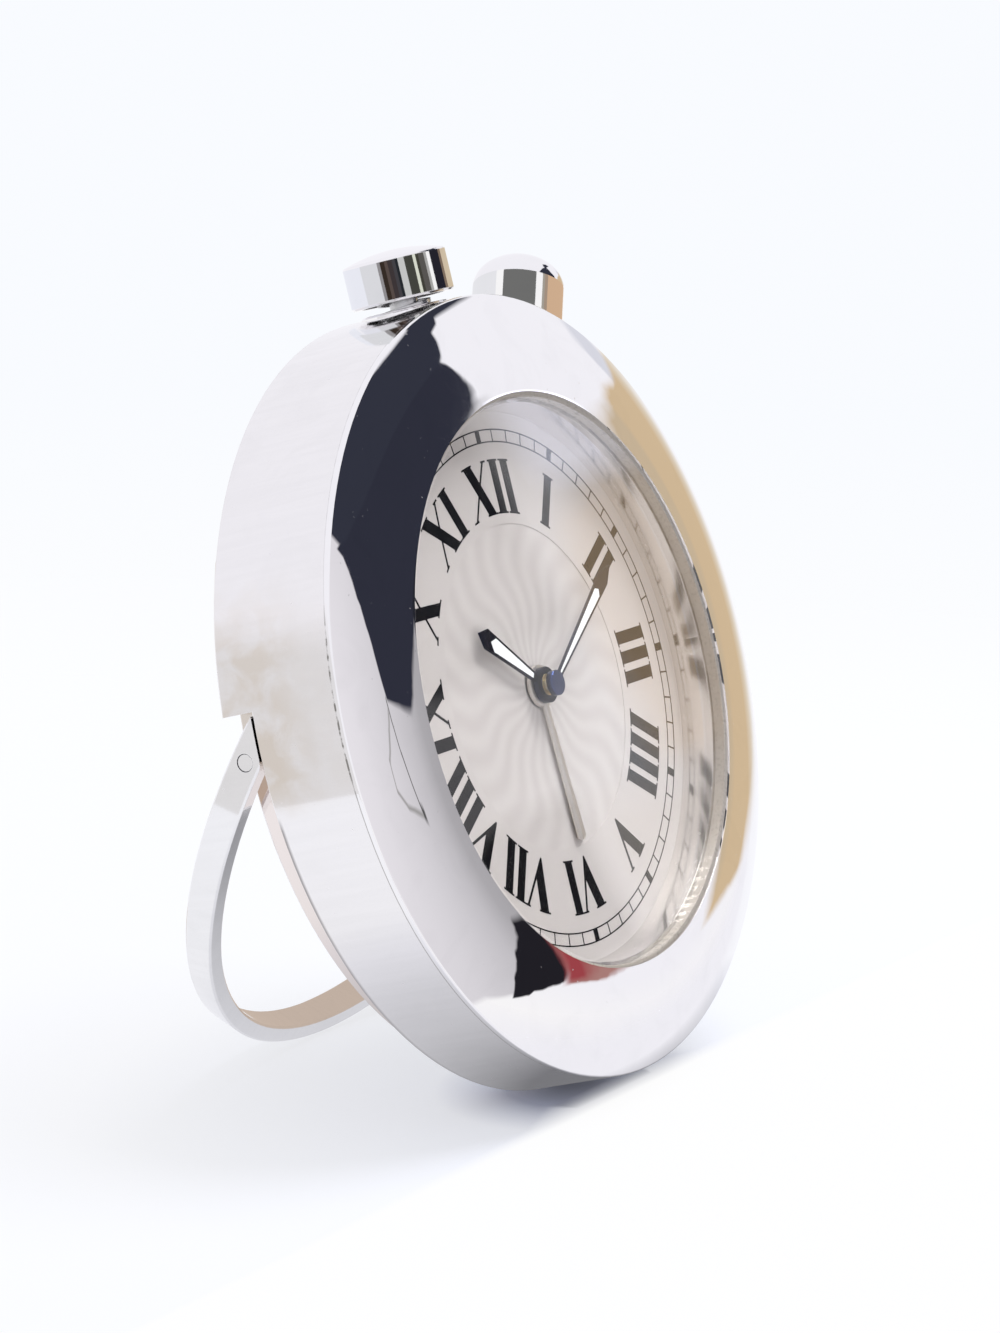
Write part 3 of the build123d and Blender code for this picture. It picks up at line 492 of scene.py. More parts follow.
def silvered_dial():
    """Silvered plate: a broad engine-turned sunray in the middle and fine circular satin outside it."""
    material, shader = new_material("silvered_dial", dial_base, dial_sheen, 0.5)
    place = clock_coordinates(material)
    angle, reach, level = polar(material, place)
    inside = fall(material, reach, dial_centre_radius - ray_edge, dial_centre_radius)
    sway = calculate(material, "SINE", product(material, reach, ray_sway_rate))
    flame = add_share(material, sway, ray_sway, angle)
    broad = calculate(material, "SINE", product(material, flame, ray_count))
    fine = calculate(material, "SINE", product(material, flame, fine_ray_count))
    circles = noise(material, combine(material, product(material, reach, circle_rate), angle, 0.0), 1.0)
    rays = product(material, broad, inside)
    height = add_share(material, product(material, fine, inside), fine_ray_share, rays)
    height = add_share(material, circles, circle_share, height)
    grain = noise(material, place, dial_grain_scale, detail=3.0)
    # Painted sheen: the rays' ridges lighter and their valleys darker
    tone = blend_colours(material, rise(material, rays, -1.0, 1.0), dial_valley_painted_shade, dial_ridge_painted_sheen)
    share = remap(material, grain, *grain_limits, 0.0, dial_grain_share)
    join(material, blend_colours(material, share, tone, dial_grain), shader.inputs["Base Color"])
    join(material, remap(material, grain, *grain_limits, *dial_roughness), shader.inputs["Roughness"])
    join(material, bump(material, height, dial_relief, relief_strength), shader.inputs["Normal"])
    return material


smear_scale = 0.25
smear_limits = (0.55, 0.8)
smear_roughness = 0.04


def clear_crystal():
    """Thin clear glass: it lets the dial show where it is, and its surface mirrors like glass."""
    material, shader = new_material("clear_crystal", (1.0, 1.0, 1.0), 0.0, 0.0,
                                    Transmission_Weight=1.0, IOR=1.0, Coat_Weight=1.0, Coat_IOR=1.5,
                                    Coat_Roughness=0.0)
    smears = noise(material, clock_coordinates(material), smear_scale, detail=4.0)
    join(material, remap(material, smears, *smear_limits, 0.0, smear_roughness),
         shader.inputs["Coat Roughness"])
    path = add_node(material, "ShaderNodeLightPath")
    clear = add_node(material, "ShaderNodeBsdfTransparent")
    surface = mix_shaders(material, path.outputs["Is Shadow Ray"], shader.outputs[0], clear.outputs[0])
    join(material, surface, material.node_tree.nodes["Material Output"].inputs["Surface"])
    return material


steel_grain_scale = 1.2
steel_shade = 0.9
steel_roughness_range = 0.05


def ridged_steel(name, colour, roughness, clock_angle, slope):
    """Bright hand with a ridge along its middle, so that its two halves mirror different places."""
    material, shader = new_material(name, colour, 1.0, roughness)
    place = clock_coordinates(material)
    x, y, level = split(material, place)
    turn = radians(clock_angle)
    aside = calculate(material, "MULTIPLY_ADD", x, cos(turn), product(material, y, -sin(turn)))
    aside = calculate(material, "ABSOLUTE", aside)
    grain = noise(material, place, steel_grain_scale, detail=3.0)
    join(material, bump(material, aside, -slope), shader.inputs["Normal"])
    join(material, remap(material, grain, *grain_limits, roughness - steel_roughness_range,
                         roughness + steel_roughness_range), shader.inputs["Roughness"])
    join(material, blend_colours(material, grain, dimmed(colour, steel_shade), colour),
         shader.inputs["Base Color"])
    return material


case_polish = polished_metal("polished_case", (0.92, 0.91, 0.92), 0.02)
bezel_polish = polished_metal("polished_bezel", (0.925, 0.915, 0.925), 0.01, seam=True, rounding=0.0)
# The band has the stain by the hinge and the painted light on its rear boss and step
band_polish = polished_metal("polished_band", (0.90, 0.885, 0.89), 0.05,
                             seam=True, streaks=0.6, with_stain_and_painted_light=True)
stand_polish = polished_metal("polished_stand", (0.89, 0.885, 0.89), 0.05, streaks=0.3)
ring_polish = polished_metal("polished_ring", (0.80, 0.775, 0.75), 0.14)
blued = polished_metal("blued_steel", (0.010, 0.013, 0.034), 0.12)
cap_polish = polished_metal("blued_cap", (0.035, 0.055, 0.16), 0.08)
alarm_hand_angle = 175.8
alarm_steel = ridged_steel("alarm_hand_steel", (0.78, 0.74, 0.69), 0.42, alarm_hand_angle, 0.22)

# Name, colour and roughness, then the pitch and the depth of the tool marks
turned_finishes = {name: turned_metal(name, *values) for name, *values in (
    ("satin_back", (0.72, 0.72, 0.73), 0.28, 14.0, 0.004),
    ("plain_steel", (0.66, 0.66, 0.67), 0.22, 10.0, 0.002),
    ("brass", (0.78, 0.60, 0.30), 0.3, 10.0, 0.003),
    ("copper_wire", (0.62, 0.27, 0.12), 0.35, 12.0, 0.02),
    ("magnet", (0.2, 0.2, 0.21), 0.45, 10.0, 0.003),
)}

# Name, colour and roughness, then the grain's depth and the gloss where they aren't the common ones
moulded_finishes = {name: moulded(name, *values) for name, *values in (
    ("white_inlay", (0.93, 0.96, 0.95), 0.45, 0.002),
    ("black_print", (0.004, 0.004, 0.005), 0.55, 0.002, 0.03),
    ("clear_seal", (0.80, 0.80, 0.77), 0.3),
    ("beige_seal", (0.50, 0.45, 0.39), 0.3),
    ("rubber_seal", (0.03, 0.03, 0.03), 0.7),
    ("white_plastic", (0.80, 0.80, 0.78), 0.5),
    ("black_plastic", (0.04, 0.04, 0.04), 0.5),
    ("green_board", (0.03, 0.16, 0.06), 0.4),
)}

by_slot = {**turned_finishes, **moulded_finishes, "polished_case": case_polish,
           "polished_ring": ring_polish, "crystal": clear_crystal(), "silvered_dial": silvered_dial(),
           "blued_steel": blued}
by_node = {"case_middle": band_polish, "bezel": bezel_polish, "stand": stand_polish,
           "alarm_hand": alarm_steel, "hand_cap": cap_polish, "hinge_pins": stand_polish,
           "crystal_gasket": moulded_finishes["beige_seal"]}

for entry in frame["record"]["subparts"]:
    node = nodes[entry["node"]]
    node.data.materials.clear()
    node.data.materials.append(by_node.get(entry["node"], by_slot[entry["material_slot"]]))


# Printing on the dial

black_print = moulded_finishes["black_print"]


ring_vertices = 240


def flat_shapes(name, outlines):
    """Thin printed shapes from closed outlines, drawn as one flat curve and then made a mesh."""
    curve = bpy.data.curves.new(name, "CURVE")
    curve.dimensions = "2D"
    curve.fill_mode = "BOTH"
    curve.extrude = print_thickness / 2
    for outline in outlines:
        spline = curve.splines.new("POLY")
        spline.points.add(len(outline) - 1)
        for point, (x, y) in zip(spline.points, outline):
            point.co = (x, y, 0, 1)
        spline.use_cyclic_u = True
    piece = bpy.data.objects.new(name, curve)
    bpy.context.scene.collection.objects.link(piece)
    work_on(piece)
    bpy.ops.object.convert(target="MESH")
    piece = bpy.context.object
    piece.data.transform(Matrix.Translation((0, 0, dial_level + print_thickness / 2)))
    place_in_clock(piece)
    piece.data.materials.clear()
    piece.data.materials.append(black_print)
    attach(piece, "clock")
    return piece


stem_width = 1.3
thick_width = 1.48
hair_width = 0.34
serif_height = 0.2
serif_reach = 0.28
letter_widths = {"I": 2.1, "V": 4.3, "X": 5.2}
numeral_height = numeral_head - numeral_foot
edge_steps = 6

# How far the strokes of the V and the X stand from the letter's middle at the foot and at the head
v_foot = 0.1
v_thick_head = 1.32
v_thin_head = 1.8
x_thick_foot = 1.62
x_thick_head = 1.56
x_thin = 1.85


def along(edge, height):
    """Point of a straight edge, given by its place on the foot line and on the head line, at a height."""
    return edge[0] + (edge[1] - edge[0]) * height / numeral_height, height


def crossing(first, second):
    """Point where two such edges meet."""
    share = (second[0] - first[0]) / ((first[1] - first[0]) - (second[1] - second[0]))
    return along(first, share * numeral_height)


def stroke(foot, head, width):
    """Left and right edge of a straight stroke."""
    return (foot - width / 2, head - width / 2), (foot + width / 2, head + width / 2)


def foot_serif(left, right):
    """Foot of a stroke from its left edge to its right edge, with a serif on each side."""
    low_left, low_right = left[0] - serif_reach, right[0] + serif_reach
    return [along(left, serif_height), (low_left, serif_height), (low_left, 0), (low_right, 0),
            (low_right, serif_height), along(right, serif_height)]


def head_serif(left, right):
    """Head of a stroke from its right edge back to its left edge, with a serif on each side."""
    below = numeral_height - serif_height
    high_left, high_right = left[1] - serif_reach, right[1] + serif_reach
    return [along(right, below), (high_right, below), (high_right, numeral_height),
            (high_left, numeral_height), (high_left, below), along(left, below)]


def letter(sign, middle):
    """Closed outline of one letter, drawn about a place along the foot line."""
    if sign == "I":
        left, right = stroke(middle, middle, stem_width)
        return foot_serif(left, right) + head_serif(left, right)
    if sign == "V":
        thick_left, thick_right = stroke(middle + thick_width / 2 - v_foot, middle - v_thick_head,
                                         thick_width)
        thin_left, thin_right = stroke(middle - hair_width / 2 + v_foot, middle + v_thin_head, hair_width)
        return ([(middle - v_foot, 0), (middle + v_foot, 0)] + head_serif(thin_left, thin_right)
                + [crossing(thin_left, thick_right)] + head_serif(thick_left, thick_right))
    thick_left, thick_right = stroke(middle + x_thick_foot, middle - x_thick_head, thick_width)
    thin_left, thin_right = stroke(middle - x_thin, middle + x_thin, hair_width)
    return (foot_serif(thin_left, thin_right) + [crossing(thin_right, thick_left)]
            + foot_serif(thick_left, thick_right) + [crossing(thick_right, thin_right)]
            + head_serif(thin_left, thin_right) + [crossing(thin_left, thick_right)]
            + head_serif(thick_left, thick_right) + [crossing(thick_left, thin_left)])


def set_on_dial(outline, clock_angle):
    """Turns a letter to its clock angle: stems stay parallel, foot and head follow the dial's circles."""
    turn = radians(clock_angle)
    placed = []
    for start, end in zip(outline, outline[1:] + outline[:1]):
        for step in range(edge_steps):
            x = start[0] + (end[0] - start[0]) * step / edge_steps
            reach = numeral_foot + start[1] + (end[1] - start[1]) * step / edge_steps
            angle = turn + asin(x / reach)
            placed.append((reach * sin(angle), reach * cos(angle)))
    return placed


numerals = ("XII", "I", "II", "III", "IIII", "V", "VI", "VII", "VIII", "IX", "X", "XI")
hour_angle = 30
outlines = []
for hour, numeral in enumerate(numerals):
    left = -sum(letter_widths[sign] for sign in numeral) / 2
    for sign in numeral:
        outlines.append(set_on_dial(letter(sign, left + letter_widths[sign] / 2), hour_angle * hour))
        left += letter_widths[sign]
flat_shapes("hour_numerals", outlines)


def printed_ring(name, outer, inner):
    """Thin printed circle: a circle's edge is drawn out to the ring's width and then given thickness."""
    deselect_all()
    bpy.ops.mesh.primitive_circle_add(vertices=ring_vertices, radius=inner, fill_type="NOTHING",
                                      location=(0, 0, dial_level))
    piece = bpy.context.object
    piece.name = name
    bpy.ops.object.mode_set(mode="EDIT")
    bpy.ops.mesh.select_all(action="SELECT")
    bpy.ops.mesh.extrude_region_move()
    bpy.ops.transform.resize(value=(outer / inner, outer / inner, 1))
    bpy.ops.mesh.select_all(action="SELECT")
    bpy.ops.mesh.extrude_region_move(TRANSFORM_OT_translate={"value": (0, 0, print_thickness)})
    bpy.ops.mesh.select_all(action="SELECT")
    bpy.ops.mesh.normals_make_consistent(inside=False)
    bpy.ops.object.mode_set(mode="OBJECT")
    bpy.ops.object.transform_apply(location=True, rotation=True, scale=True)
    place_in_clock(piece)
    piece.data.materials.append(black_print)
    return piece


def printed_mark(name, width, inner, outer, clock_angle):
    """Short radial mark between two distances from the centre."""
    angle = radians(clock_angle)
    half = width / 2
    corners = [(-half, inner), (half, inner), (half, outer), (-half, outer)]
    outline = [(x * cos(angle) + y * sin(angle), y * cos(angle) - x * sin(angle)) for x, y in corners]
    return flat_shapes(name, [outline])


minute_angle = 6
minutes_in_hour = 60
minutes_in_block = 5
track = [printed_ring("track_inner", track_inner + track_line, track_inner),
         printed_ring("track_outer", track_outer, track_outer - track_line)]
for minute in range(minutes_in_hour):
    width = minute_mark_width if minute % minutes_in_block else block_width
    track.append(printed_mark(f"minute_mark_{minute}", width, track_inner + track_line,
                              track_outer - track_line, minute_angle * minute))
deselect_all()
for piece in track:
    piece.select_set(True)
bpy.context.view_layer.objects.active = track[-1]
bpy.ops.object.join()
track[-1].name = "minute_track"


# Studio: round pale table, white surroundings, one soft lamp, and cards that only metal and glass see

world = bpy.data.worlds.new("studio")
bpy.context.scene.world = world
world.use_nodes = True
world.node_tree.nodes.clear()


def direction(azimuth, elevation):
    """Unit vector at an azimuth from the clock's front towards its 3 o'clock side, in degrees."""
    a, e = radians(azimuth), radians(elevation)
    return Vector((sin(a) * cos(e), -cos(a) * cos(e), sin(e)))


def heading():
    """Azimuth and elevation, in degrees, of each direction of the surroundings."""
    x, y, z = split(world, object_coordinates(world))
    turn = calculate(world, "ARCTAN2", x, product(world, y, -1.0))
    return product(world, turn, degrees(1)), product(world, calculate(world, "ARCSINE", z), degrees(1))


def patch(corners, softness):
    """Share of each direction that a convex card covers, its corners given anticlockwise in degrees."""
    cover = None
    for (a, e), (next_a, next_e) in zip(corners, corners[1:] + corners[:1]):
        run = hypot(next_a - a, next_e - e)
        along_a, along_e = (e - next_e) / run, (next_a - a) / run
        depth = add_share(world, azimuth, along_a, -(along_a * a + along_e * e))
        depth = add_share(world, elevation, along_e, depth)
        side = rise(world, depth, -softness, softness)
        cover = side if cover is None else product(world, cover, side)
    return cover


def strip(start, end, width):
    """Corners of a narrow straight card between two headings."""
    (a, e), (next_a, next_e) = start, end
    run = hypot(next_a - a, next_e - e)
    aside_a, aside_e = (next_e - e) / run * width / 2, (a - next_a) / run * width / 2
    return [(a + aside_a, e + aside_e), (next_a + aside_a, next_e + aside_e),
            (next_a - aside_a, next_e - aside_e), (a - aside_a, e - aside_e)]


def grey(level):
    return (level, 0.975 * level, 1.02 * level)


azimuth, elevation = heading()
table_horizon = (-14.0, 0.0)
near_table = (1.0, 0.995, 1.0)
above_table = (0.945, 0.94, 0.985)
pale = ramp(world, rise(world, elevation, *table_horizon), ((0.0, near_table), (1.0, above_table)))
grey_azimuths = (0.0, 60.0)
front_grey = ramp(world, rise(world, azimuth, *grey_azimuths), (
    (0.03, grey(0.84)), (0.21, grey(0.77)), (0.375, grey(0.72)), (0.54, grey(0.655)), (0.71, grey(0.575)),
    (0.875, grey(0.44)), (0.96, grey(0.41))))
tan = (0.663, 0.507, 0.324)
tan_lean = -0.9
tan_azimuths = (60.0, 110.0)
tan_fade = ramp(world, rise(world, add_share(world, elevation, tan_lean, azimuth), *tan_azimuths), (
    (0.0, (0.60, 0.48, 0.33)), (0.06, tan), (0.5, tan), (0.7, (0.745, 0.65, 0.52)),
    (0.9, (0.90, 0.875, 0.85)), (1.0, (0.95, 0.94, 0.95))))
navy = (0.029, 0.031, 0.048)
upper_navy = (0.033, 0.036, 0.054)
black = (0.016, 0.015, 0.020)
line_dark = (0.13, 0.13, 0.13)
line_pale = (0.38, 0.37, 0.37)

# What the bezel and the glass mirror: corners by azimuth and elevation, softness of the edge, colour
mirrored_cards = (
    # Grey room in front of the clock
    ([(-40, -22), (16, -20), (33.6, -11.6), (50.6, -2.0), (57.4, 3.2), (60.2, 7.0), (60.2, 12.0),
      (32, 30), (13, 42), (-40, 42)], 0.5, front_grey),
    # Fine lines hanging below the navy cloth
    (strip((28.6, 16.0), (30.6, 11.4), 0.45), 0.15, line_dark),
    (strip((30.6, 11.6), (33.2, 7.2), 0.5), 0.15, line_dark),
    (strip((32.7, 7.4), (34.3, 7.2), 1.1), 0.3, (0.10, 0.10, 0.10)),
    (strip((28.6, 15.0), (20.8, 12.0), 0.5), 0.2, line_pale),
    (strip((20.9, 12.2), (20.3, 9.4), 0.5), 0.2, line_pale),
    (strip((20.2, 9.6), (24.4, 8.0), 0.5), 0.2, line_pale),
    (strip((24.2, 8.0), (32.8, 7.2), 0.5), 0.2, line_pale),
    # Navy cloth, from its lower part round the top to its right end
    ([(29.4, 15.5), (46.7, 10.2), (56, 8.7), (60.0, 9.1), (60.05, 30), (55, 40), (14.0, 37.4)], 0.2, navy),
    ([(15.4, 37.2), (60.0, 28.5), (62.3, 31.0), (67.3, 36.2), (67.1, 41), (58, 43.9), (48, 47.2), (10, 48),
      (12.5, 41)], 0.4, upper_navy),
    ([(65.6, 35.4), (72.2, 36.0), (80, 36), (80, 41), (65.6, 44)], 0.4, upper_navy),
    ([(72, 36.2), (83.5, 28.8), (86, 32), (80, 40), (72, 42)], 0.4, upper_navy),
    # Cool grey above the tan card, and the tan card
    ([(87, 8.0), (100, 4.5), (100, 11.5), (90, 12.3)], 1.0, (0.72, 0.73, 0.80)),
    ([(60.8, 4.1), (62.8, -1.1), (70, -5.1), (78, -8.2), (88, -11.5), (104, -12.5), (106, 3), (99, 6.5),
      (86, 10.3), (80, 11.6), (75, 11.7), (65, 10.0), (61, 8.3)], 0.5, tan_fade),
    # Black block and the red beside it
    ([(33.4, -12.1), (51.2, -2.0), (57.3, 3.1), (56.6, 3.9), (53.3, 3.2), (47.8, 0.6), (44.4, -1.2),
      (37.8, -6.6)], 0.12, black),
    ([(51.2, -2.4), (55.2, -0.1), (57.4, 1.2), (58.9, 2.9), (57.4, 3.6)], 0.2, (0.42, 0.22, 0.20)),
    ([(51.2, -2.2), (56.2, 1.0), (57.9, 2.9), (57.4, 3.6)], 0.3, (0.35, 0.06, 0.07)),
    ([(57.2, 3.2), (59.1, 3.4), (59.2, 5.2), (58.1, 5.3), (56.8, 4.2)], 0.15, black),
    # Small things that only the crystal mirrors
    ([(57.6, 7.5), (58.3, 6.8), (60.1, 6.9), (60.15, 9.6), (56, 9.2)], 0.15, (0.02, 0.021, 0.03)),
    ([(60.25, 4.9), (62.4, 4.6), (62.4, 8.1), (60.75, 8.1), (60.3, 7.4)], 0.25, (1.0, 0.73, 0.47)),
    ([(60.6, 8.4), (62.4, 7.9), (62.4, 9.8), (60.5, 10.6)], 0.2, (1.9, 1.95, 2.3)),
    ([(59.3, 2.9), (61.6, 3.6), (62.2, 4.6), (59.3, 4.9)], 0.3, (0.9, 0.82, 0.75)),
    ([(60.0, 2.6), (61.8, 3.0), (62.0, 4.0), (60.0, 3.9)], 0.2, (1.8, 1.7, 1.6)),
)
mirrored = pale
for corners, softness, colour in mirrored_cards:
    mirrored = blend_colours(world, patch(corners, softness), mirrored, colour)

# Only mirrors see the cards, the eye sees a white backdrop, and everything else gets an even light
backdrop_horizon = (-14.0, -9.0)
backdrop_white = (1.0, 1.0, 1.0)
backdrop_blue = (0.945, 0.965, 1.0)
light_path = add_node(world, "ShaderNodeLightPath")
mirror_ray = greatest(world, light_path.outputs["Is Glossy Ray"], light_path.outputs["Is Transmission Ray"])
even_light = add_node(world, "ShaderNodeBackground", Color=(0.93, 0.95, 1.0, 1), Strength=0.66)
mirrored_light = add_node(world, "ShaderNodeBackground", Strength=1.0)
join(world, mirrored, mirrored_light.inputs["Color"])
backdrop = add_node(world, "ShaderNodeBackground", Strength=1.0)
backdrop_fade = rise(world, elevation, *backdrop_horizon)
join(world, ramp(world, backdrop_fade, ((0.0, backdrop_white), (1.0, backdrop_blue))),
     backdrop.inputs["Color"])
unseen = mix_shaders(world, mirror_ray, even_light.outputs[0], mirrored_light.outputs[0])
world_output = add_node(world, "ShaderNodeOutputWorld")
join(world, mix_shaders(world, light_path.outputs["Is Camera Ray"], unseen, backdrop.outputs[0]),
     world_output.inputs["Surface"])


# Cards that stand close to the clock

def glow(name, colour=None):
    """Evenly glowing material and its light, whose colour can still be linked."""
    material = bpy.data.materials.new(name)
    material.use_nodes = True
    material.node_tree.nodes.clear()
    light = add_node(material, "ShaderNodeEmission", Strength=1.0)
    if colour:
        light.inputs["Color"].default_value = (*colour, 1)
    output = add_node(material, "ShaderNodeOutputMaterial")
    join(material, light.outputs[0], output.inputs["Surface"])
    return material, light


def mirrored_card(name, spots, faces, materials, owners=(0,)):
    """Leaves a card to the mirrors: nothing else sees it, and it throws no shadow."""
    mesh = bpy.data.meshes.new(name)
    mesh.from_pydata(spots, [], faces)
    for material in materials:
        mesh.materials.append(material)
    for polygon, owner in zip(mesh.polygons, owners):
        polygon.material_index = owner
    piece = bpy.data.objects.new(name, mesh)
    bpy.context.scene.collection.objects.link(piece)
    piece.visible_camera = False
    piece.visible_diffuse = False
    piece.visible_shadow = False
    piece.visible_transmission = False


stripe_step = 3.0
stripe_gap = 2.0


def stripes(name, clock_angle, middle_reach, middle_level, radius, half_length, bands):
    """Upright cards close round a round piece: each is mirrored by its own part of the piece's side.

    A part is given by two angles of the side's normal, from the dial's normal towards 3 o'clock.
    """
    turn = radians(clock_angle)
    axis = Vector((sin(turn), cos(turn), 0))
    forwards = Vector((0, 0, 1))
    aside = axis.cross(forwards)
    middle = axis * middle_reach + forwards * middle_level
    spots, faces, materials, owners = [], [], [], []
    for number, (start, end, colour) in enumerate(bands):
        materials.append(glow(f"{name}_{number}", colour)[0])
        steps = max(1, round((end - start) / stripe_step))
        for step in range(steps + 1):
            angle = radians(start + (end - start) * step / steps)
            outward = forwards * cos(angle) + aside * sin(angle)
            foot = middle + outward * radius
            view = (camera_spot - foot).normalized()
            mirrored_way = 2 * outward.dot(view) * outward - view
            spot = foot + mirrored_way * stripe_gap
            spots += [clock_place @ (spot - axis * half_length), clock_place @ (spot + axis * half_length)]
            if step:
                last = len(spots)
                faces.append((last - 4, last - 3, last - 1, last - 2))
                owners.append(number)
    mirrored_card(name, spots, faces, materials, owners)


white = (1.0, 1.0, 1.0)
side_level = -7.1
button_bands = (
    (-144, -100, (0.87, 0.89, 0.96)), (-100, -78, (0.74, 0.75, 0.78)),
    (-78, -74.5, (0.30, 0.29, 0.30)), (-74.5, -69.5, (0.038, 0.027, 0.021)),
    (-69.5, -66, (0.10, 0.075, 0.067)), (-66, -61, (0.05, 0.04, 0.042)),
    (-61, -57.5, (0.06, 0.058, 0.066)), (-57.5, -54.5, (0.02, 0.024, 0.029)),
    (-54.5, -47.5, (0.60, 0.61, 0.60)), (-47.5, -37.5, (0.06, 0.062, 0.052)),
    (-37.5, -34, (0.73, 0.76, 0.65)), (-34, -30.5, (0.056, 0.056, 0.044)),
    (-30.5, -23.5, (0.105, 0.10, 0.093)), (-23.5, -20, (0.42, 0.42, 0.41)), (-20, -15, white),
    (-15, -0.5, (0.019, 0.018, 0.027)), (-0.5, 5, (0.23, 0.17, 0.125)), (5, 30, (0.66, 0.55, 0.40)))
crown_bands = (
    (-138, -85, (0.84, 0.85, 0.88)), (-85, -75.5, white), (-75.5, -34, (0.165, 0.167, 0.163)),
    (-34, -25, white), (-25, -21.5, (0.39, 0.36, 0.31)), (-21.5, -17, (0.39, 0.30, 0.23)),
    (-17, 20, (0.66, 0.45, 0.29)), (20, 34, white))
stripes("button_stripes", clock_angle=0, middle_reach=43.25, middle_level=side_level, radius=5.3,
        half_length=2.15, bands=button_bands)
stripes("crown_stripes", clock_angle=hour_angle, middle_reach=43.5, middle_level=side_level, radius=4.85,
        half_length=2.8, bands=crown_bands)

wall_distance = 101
wall_middle = (-40, -3, -7)
wall_corners = ((-160, -20), (-92, -20), (-92, 27), (-160, 27))
wall_fade = (0.26, 0.42)
wall_grey = (0.80, 0.79, 0.80)
wall_pale = (0.94, 0.93, 0.97)


def grey_wall():
    """Wall behind the band's left, grey at the table and fading upwards."""
    middle = clock_place @ Vector(wall_middle)
    spots = [middle + direction(a, e) * wall_distance * mm for a, e in wall_corners]
    material, light = glow("grey_wall")
    low, high = [middle.z + share * wall_distance * mm for share in wall_fade]
    share = rise(material, split(material, object_coordinates(material))[2], low, high)
    join(material, blend_colours(material, share, wall_grey, wall_pale), light.inputs["Color"])
    mirrored_card("grey_wall", spots, [(0, 1, 2, 3)], [material])


def foot_card():
    """Upright warm card close to the open stand's foot, which only the foot mirrors."""
    x, front, rear, bottom, top = 12 * mm, 8 * mm, 60 * mm, 0.5 * mm, 45 * mm
    spots = [(x, front, bottom), (x, rear, bottom), (x, rear, top), (x, front, top)]
    mirrored_card("foot_card", spots, [(0, 1, 2, 3)], [glow("foot_card", (0.60, 0.49, 0.41))[0]])


grey_wall()
foot_card()


# Table

table_radius = 0.27
table_vertices = 96
table_fade = (0.15, 0.26)
# Blue, so that the shade on the table is bluish where the painted light leaves it
table_colour = (0.79, 0.835, 1.0)
table_roughness = 0.6
table_gloss = 0.2
contact_y = (clock_place @ Vector((0, -case_radius, 0))).y
# Painted shade that mirrors see on the table: dark at the contact, paler away from it, pale in front
mirrored_table_reach = 55 * mm
mirrored_front = (-5 * mm, 1 * mm)
mirrored_front_colour = (0.93, 0.92, 0.95)
mirrored_cut = (-45 * mm, -15 * mm)
mirrored_share = 0.9

# Painted shade under the case, seen by the eye only: an oval behind the contact, and painted light in front
# of it
shade_offset = 8 * mm
shade_side_stretch = 0.7
shade_core = (1 * mm, 6 * mm)
shade_core_share = 0.5
shade_edge = (6 * mm, 7 * mm)
shade_colour = (0.03, 0.03, 0.035)
near_light = (6.5 * mm, 13 * mm)
near_light_share = 0.55
far_light = (13 * mm, 45 * mm)
far_light_share = 0.25
front_light = (2 * mm, 6.5 * mm)
front_light_share = 0.97
front_edge = (3.5 * mm, 6 * mm)


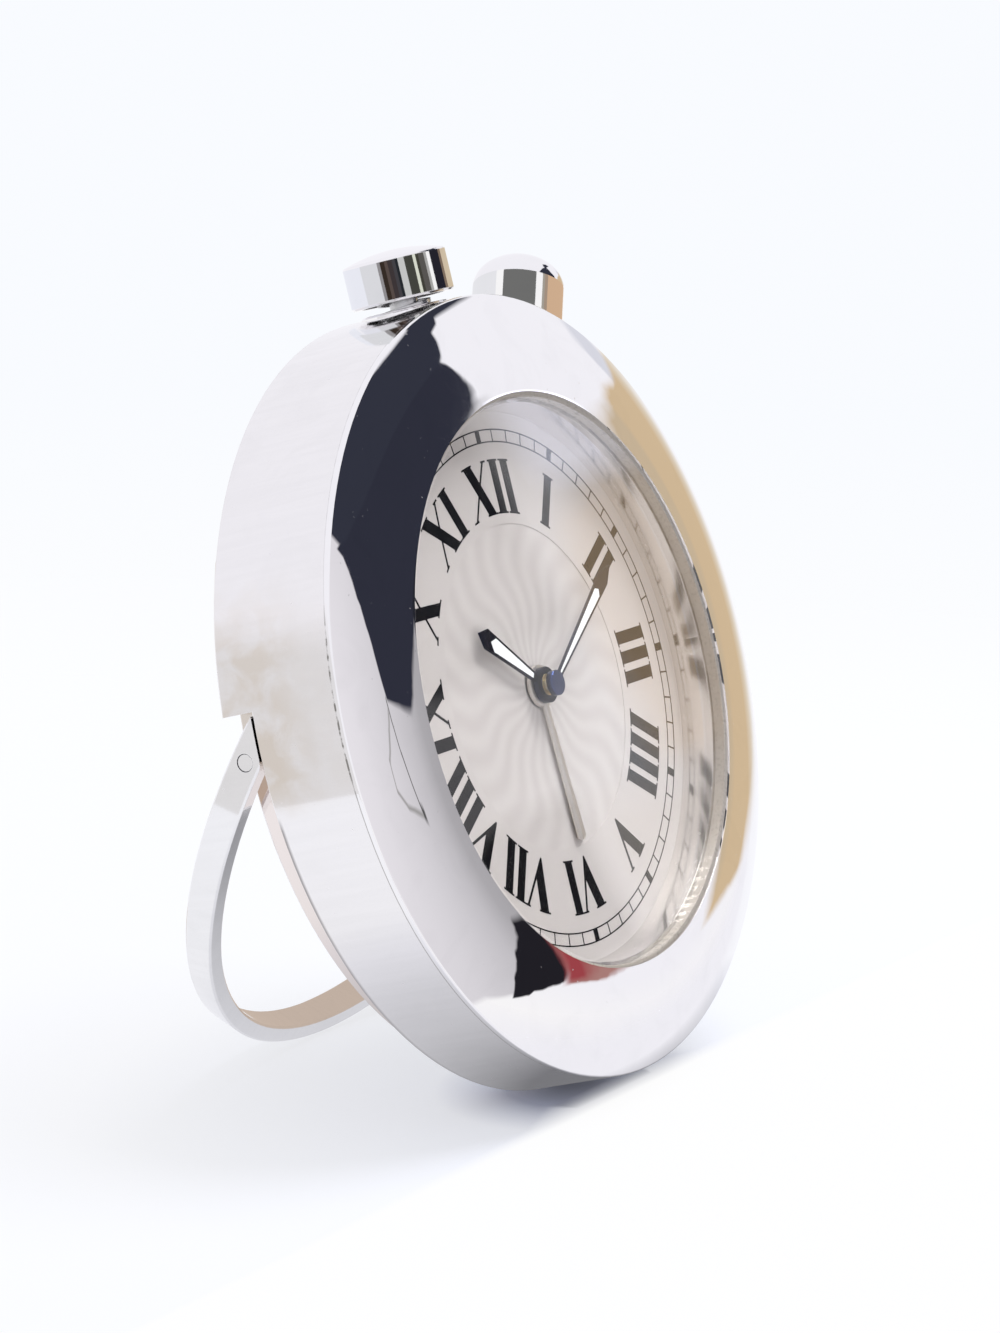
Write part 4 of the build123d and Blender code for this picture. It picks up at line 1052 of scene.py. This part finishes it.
def pale_table():
    """Pale table that fades into the backdrop and keeps the clock's shadow, with painted shade and painted
    light near the case.
    """
    material, shader = new_material("pale_table", table_colour, 0.0, table_roughness,
                                    Specular_IOR_Level=table_gloss)
    x, y, level = split(material, object_coordinates(material))
    path = add_node(material, "ShaderNodeLightPath")
    mirror = path.outputs["Is Glossy Ray"]
    from_foot = calculate(material, "SUBTRACT", y, contact_y)
    away = distance(material, x, from_foot)
    # Painted shade for mirrors: the mirrored table darkens towards the contact
    seen = ramp(material, rise(material, away, 0.0, mirrored_table_reach), (
        (0.22, (0.20, 0.20, 0.21)), (0.31, (0.36, 0.36, 0.375)), (0.40, (0.50, 0.50, 0.52)),
        (0.51, (0.62, 0.62, 0.645)), (0.64, (0.70, 0.70, 0.73)), (0.82, (0.86, 0.86, 0.90)),
        (1.0, (0.98, 0.98, 1.0))))
    seen = blend_colours(material, fall(material, from_foot, *mirrored_front), seen, mirrored_front_colour)
    # Painted shade for the eye: a dark oval behind the contact, with painted light round it and in front of
    # it
    behind = calculate(material, "SUBTRACT", from_foot, shade_offset)
    spread = distance(material, product(material, x, shade_side_stretch), behind)
    lit = greatest(
        material,
        calculate(material, "ADD", remap(material, spread, *near_light, 0.0, near_light_share),
                  remap(material, spread, *far_light, 0.0, far_light_share)),
        remap(material, from_foot, *front_light, front_light_share, 0.0),
        remap(material, spread, *shade_core, shade_core_share, 0.0))
    unshaded = greatest(material, rise(material, spread, *shade_edge),
                        fall(material, from_foot, *front_edge))
    camera_painted_shade = blend_colours(material, unshaded, shade_colour, white)
    # Painted light and shade: emission mixed over the table's own shading, for the eye and for mirrors
    painted_light_share = add_share(material, mirror, mirrored_share,
                          product(material, path.outputs["Is Camera Ray"], lit))
    glowing = add_node(material, "ShaderNodeEmission", Strength=1.0)
    join(material, blend_colours(material, mirror, camera_painted_shade, seen), glowing.inputs["Color"])
    with_painted_light = mix_shaders(material, painted_light_share, shader.outputs[0], glowing.outputs[0])
    fade = greatest(material, rise(material, distance(material, x, y), *table_fade),
                    product(material, mirror, fall(material, from_foot, *mirrored_cut)))
    clear = add_node(material, "ShaderNodeBsdfTransparent")
    join(material, mix_shaders(material, fade, with_painted_light, clear.outputs[0]),
         material.node_tree.nodes["Material Output"].inputs["Surface"])
    return material


deselect_all()
bpy.ops.mesh.primitive_circle_add(vertices=table_vertices, radius=table_radius, fill_type="NGON",
                                  location=(0, 0, 0))
table = bpy.context.object
table.name = "table"
table.data.materials.append(pale_table())


# Lamp

lamp_heading = (62, 66)
lamp_distance = 0.8
lamp_data = bpy.data.lights.new("soft_lamp", "AREA")
lamp_data.shape = "DISK"
lamp_data.size = 0.5
lamp_data.energy = 4.6
lamp = bpy.data.objects.new("soft_lamp", lamp_data)
bpy.context.scene.collection.objects.link(lamp)
lamp.location = rim_centre + direction(*lamp_heading) * lamp_distance
lamp.rotation_euler = (rim_centre - lamp.location).to_track_quat("-Z", "Y").to_euler()
lamp.visible_glossy = False

bpy.context.scene.view_settings.view_transform = "Standard"
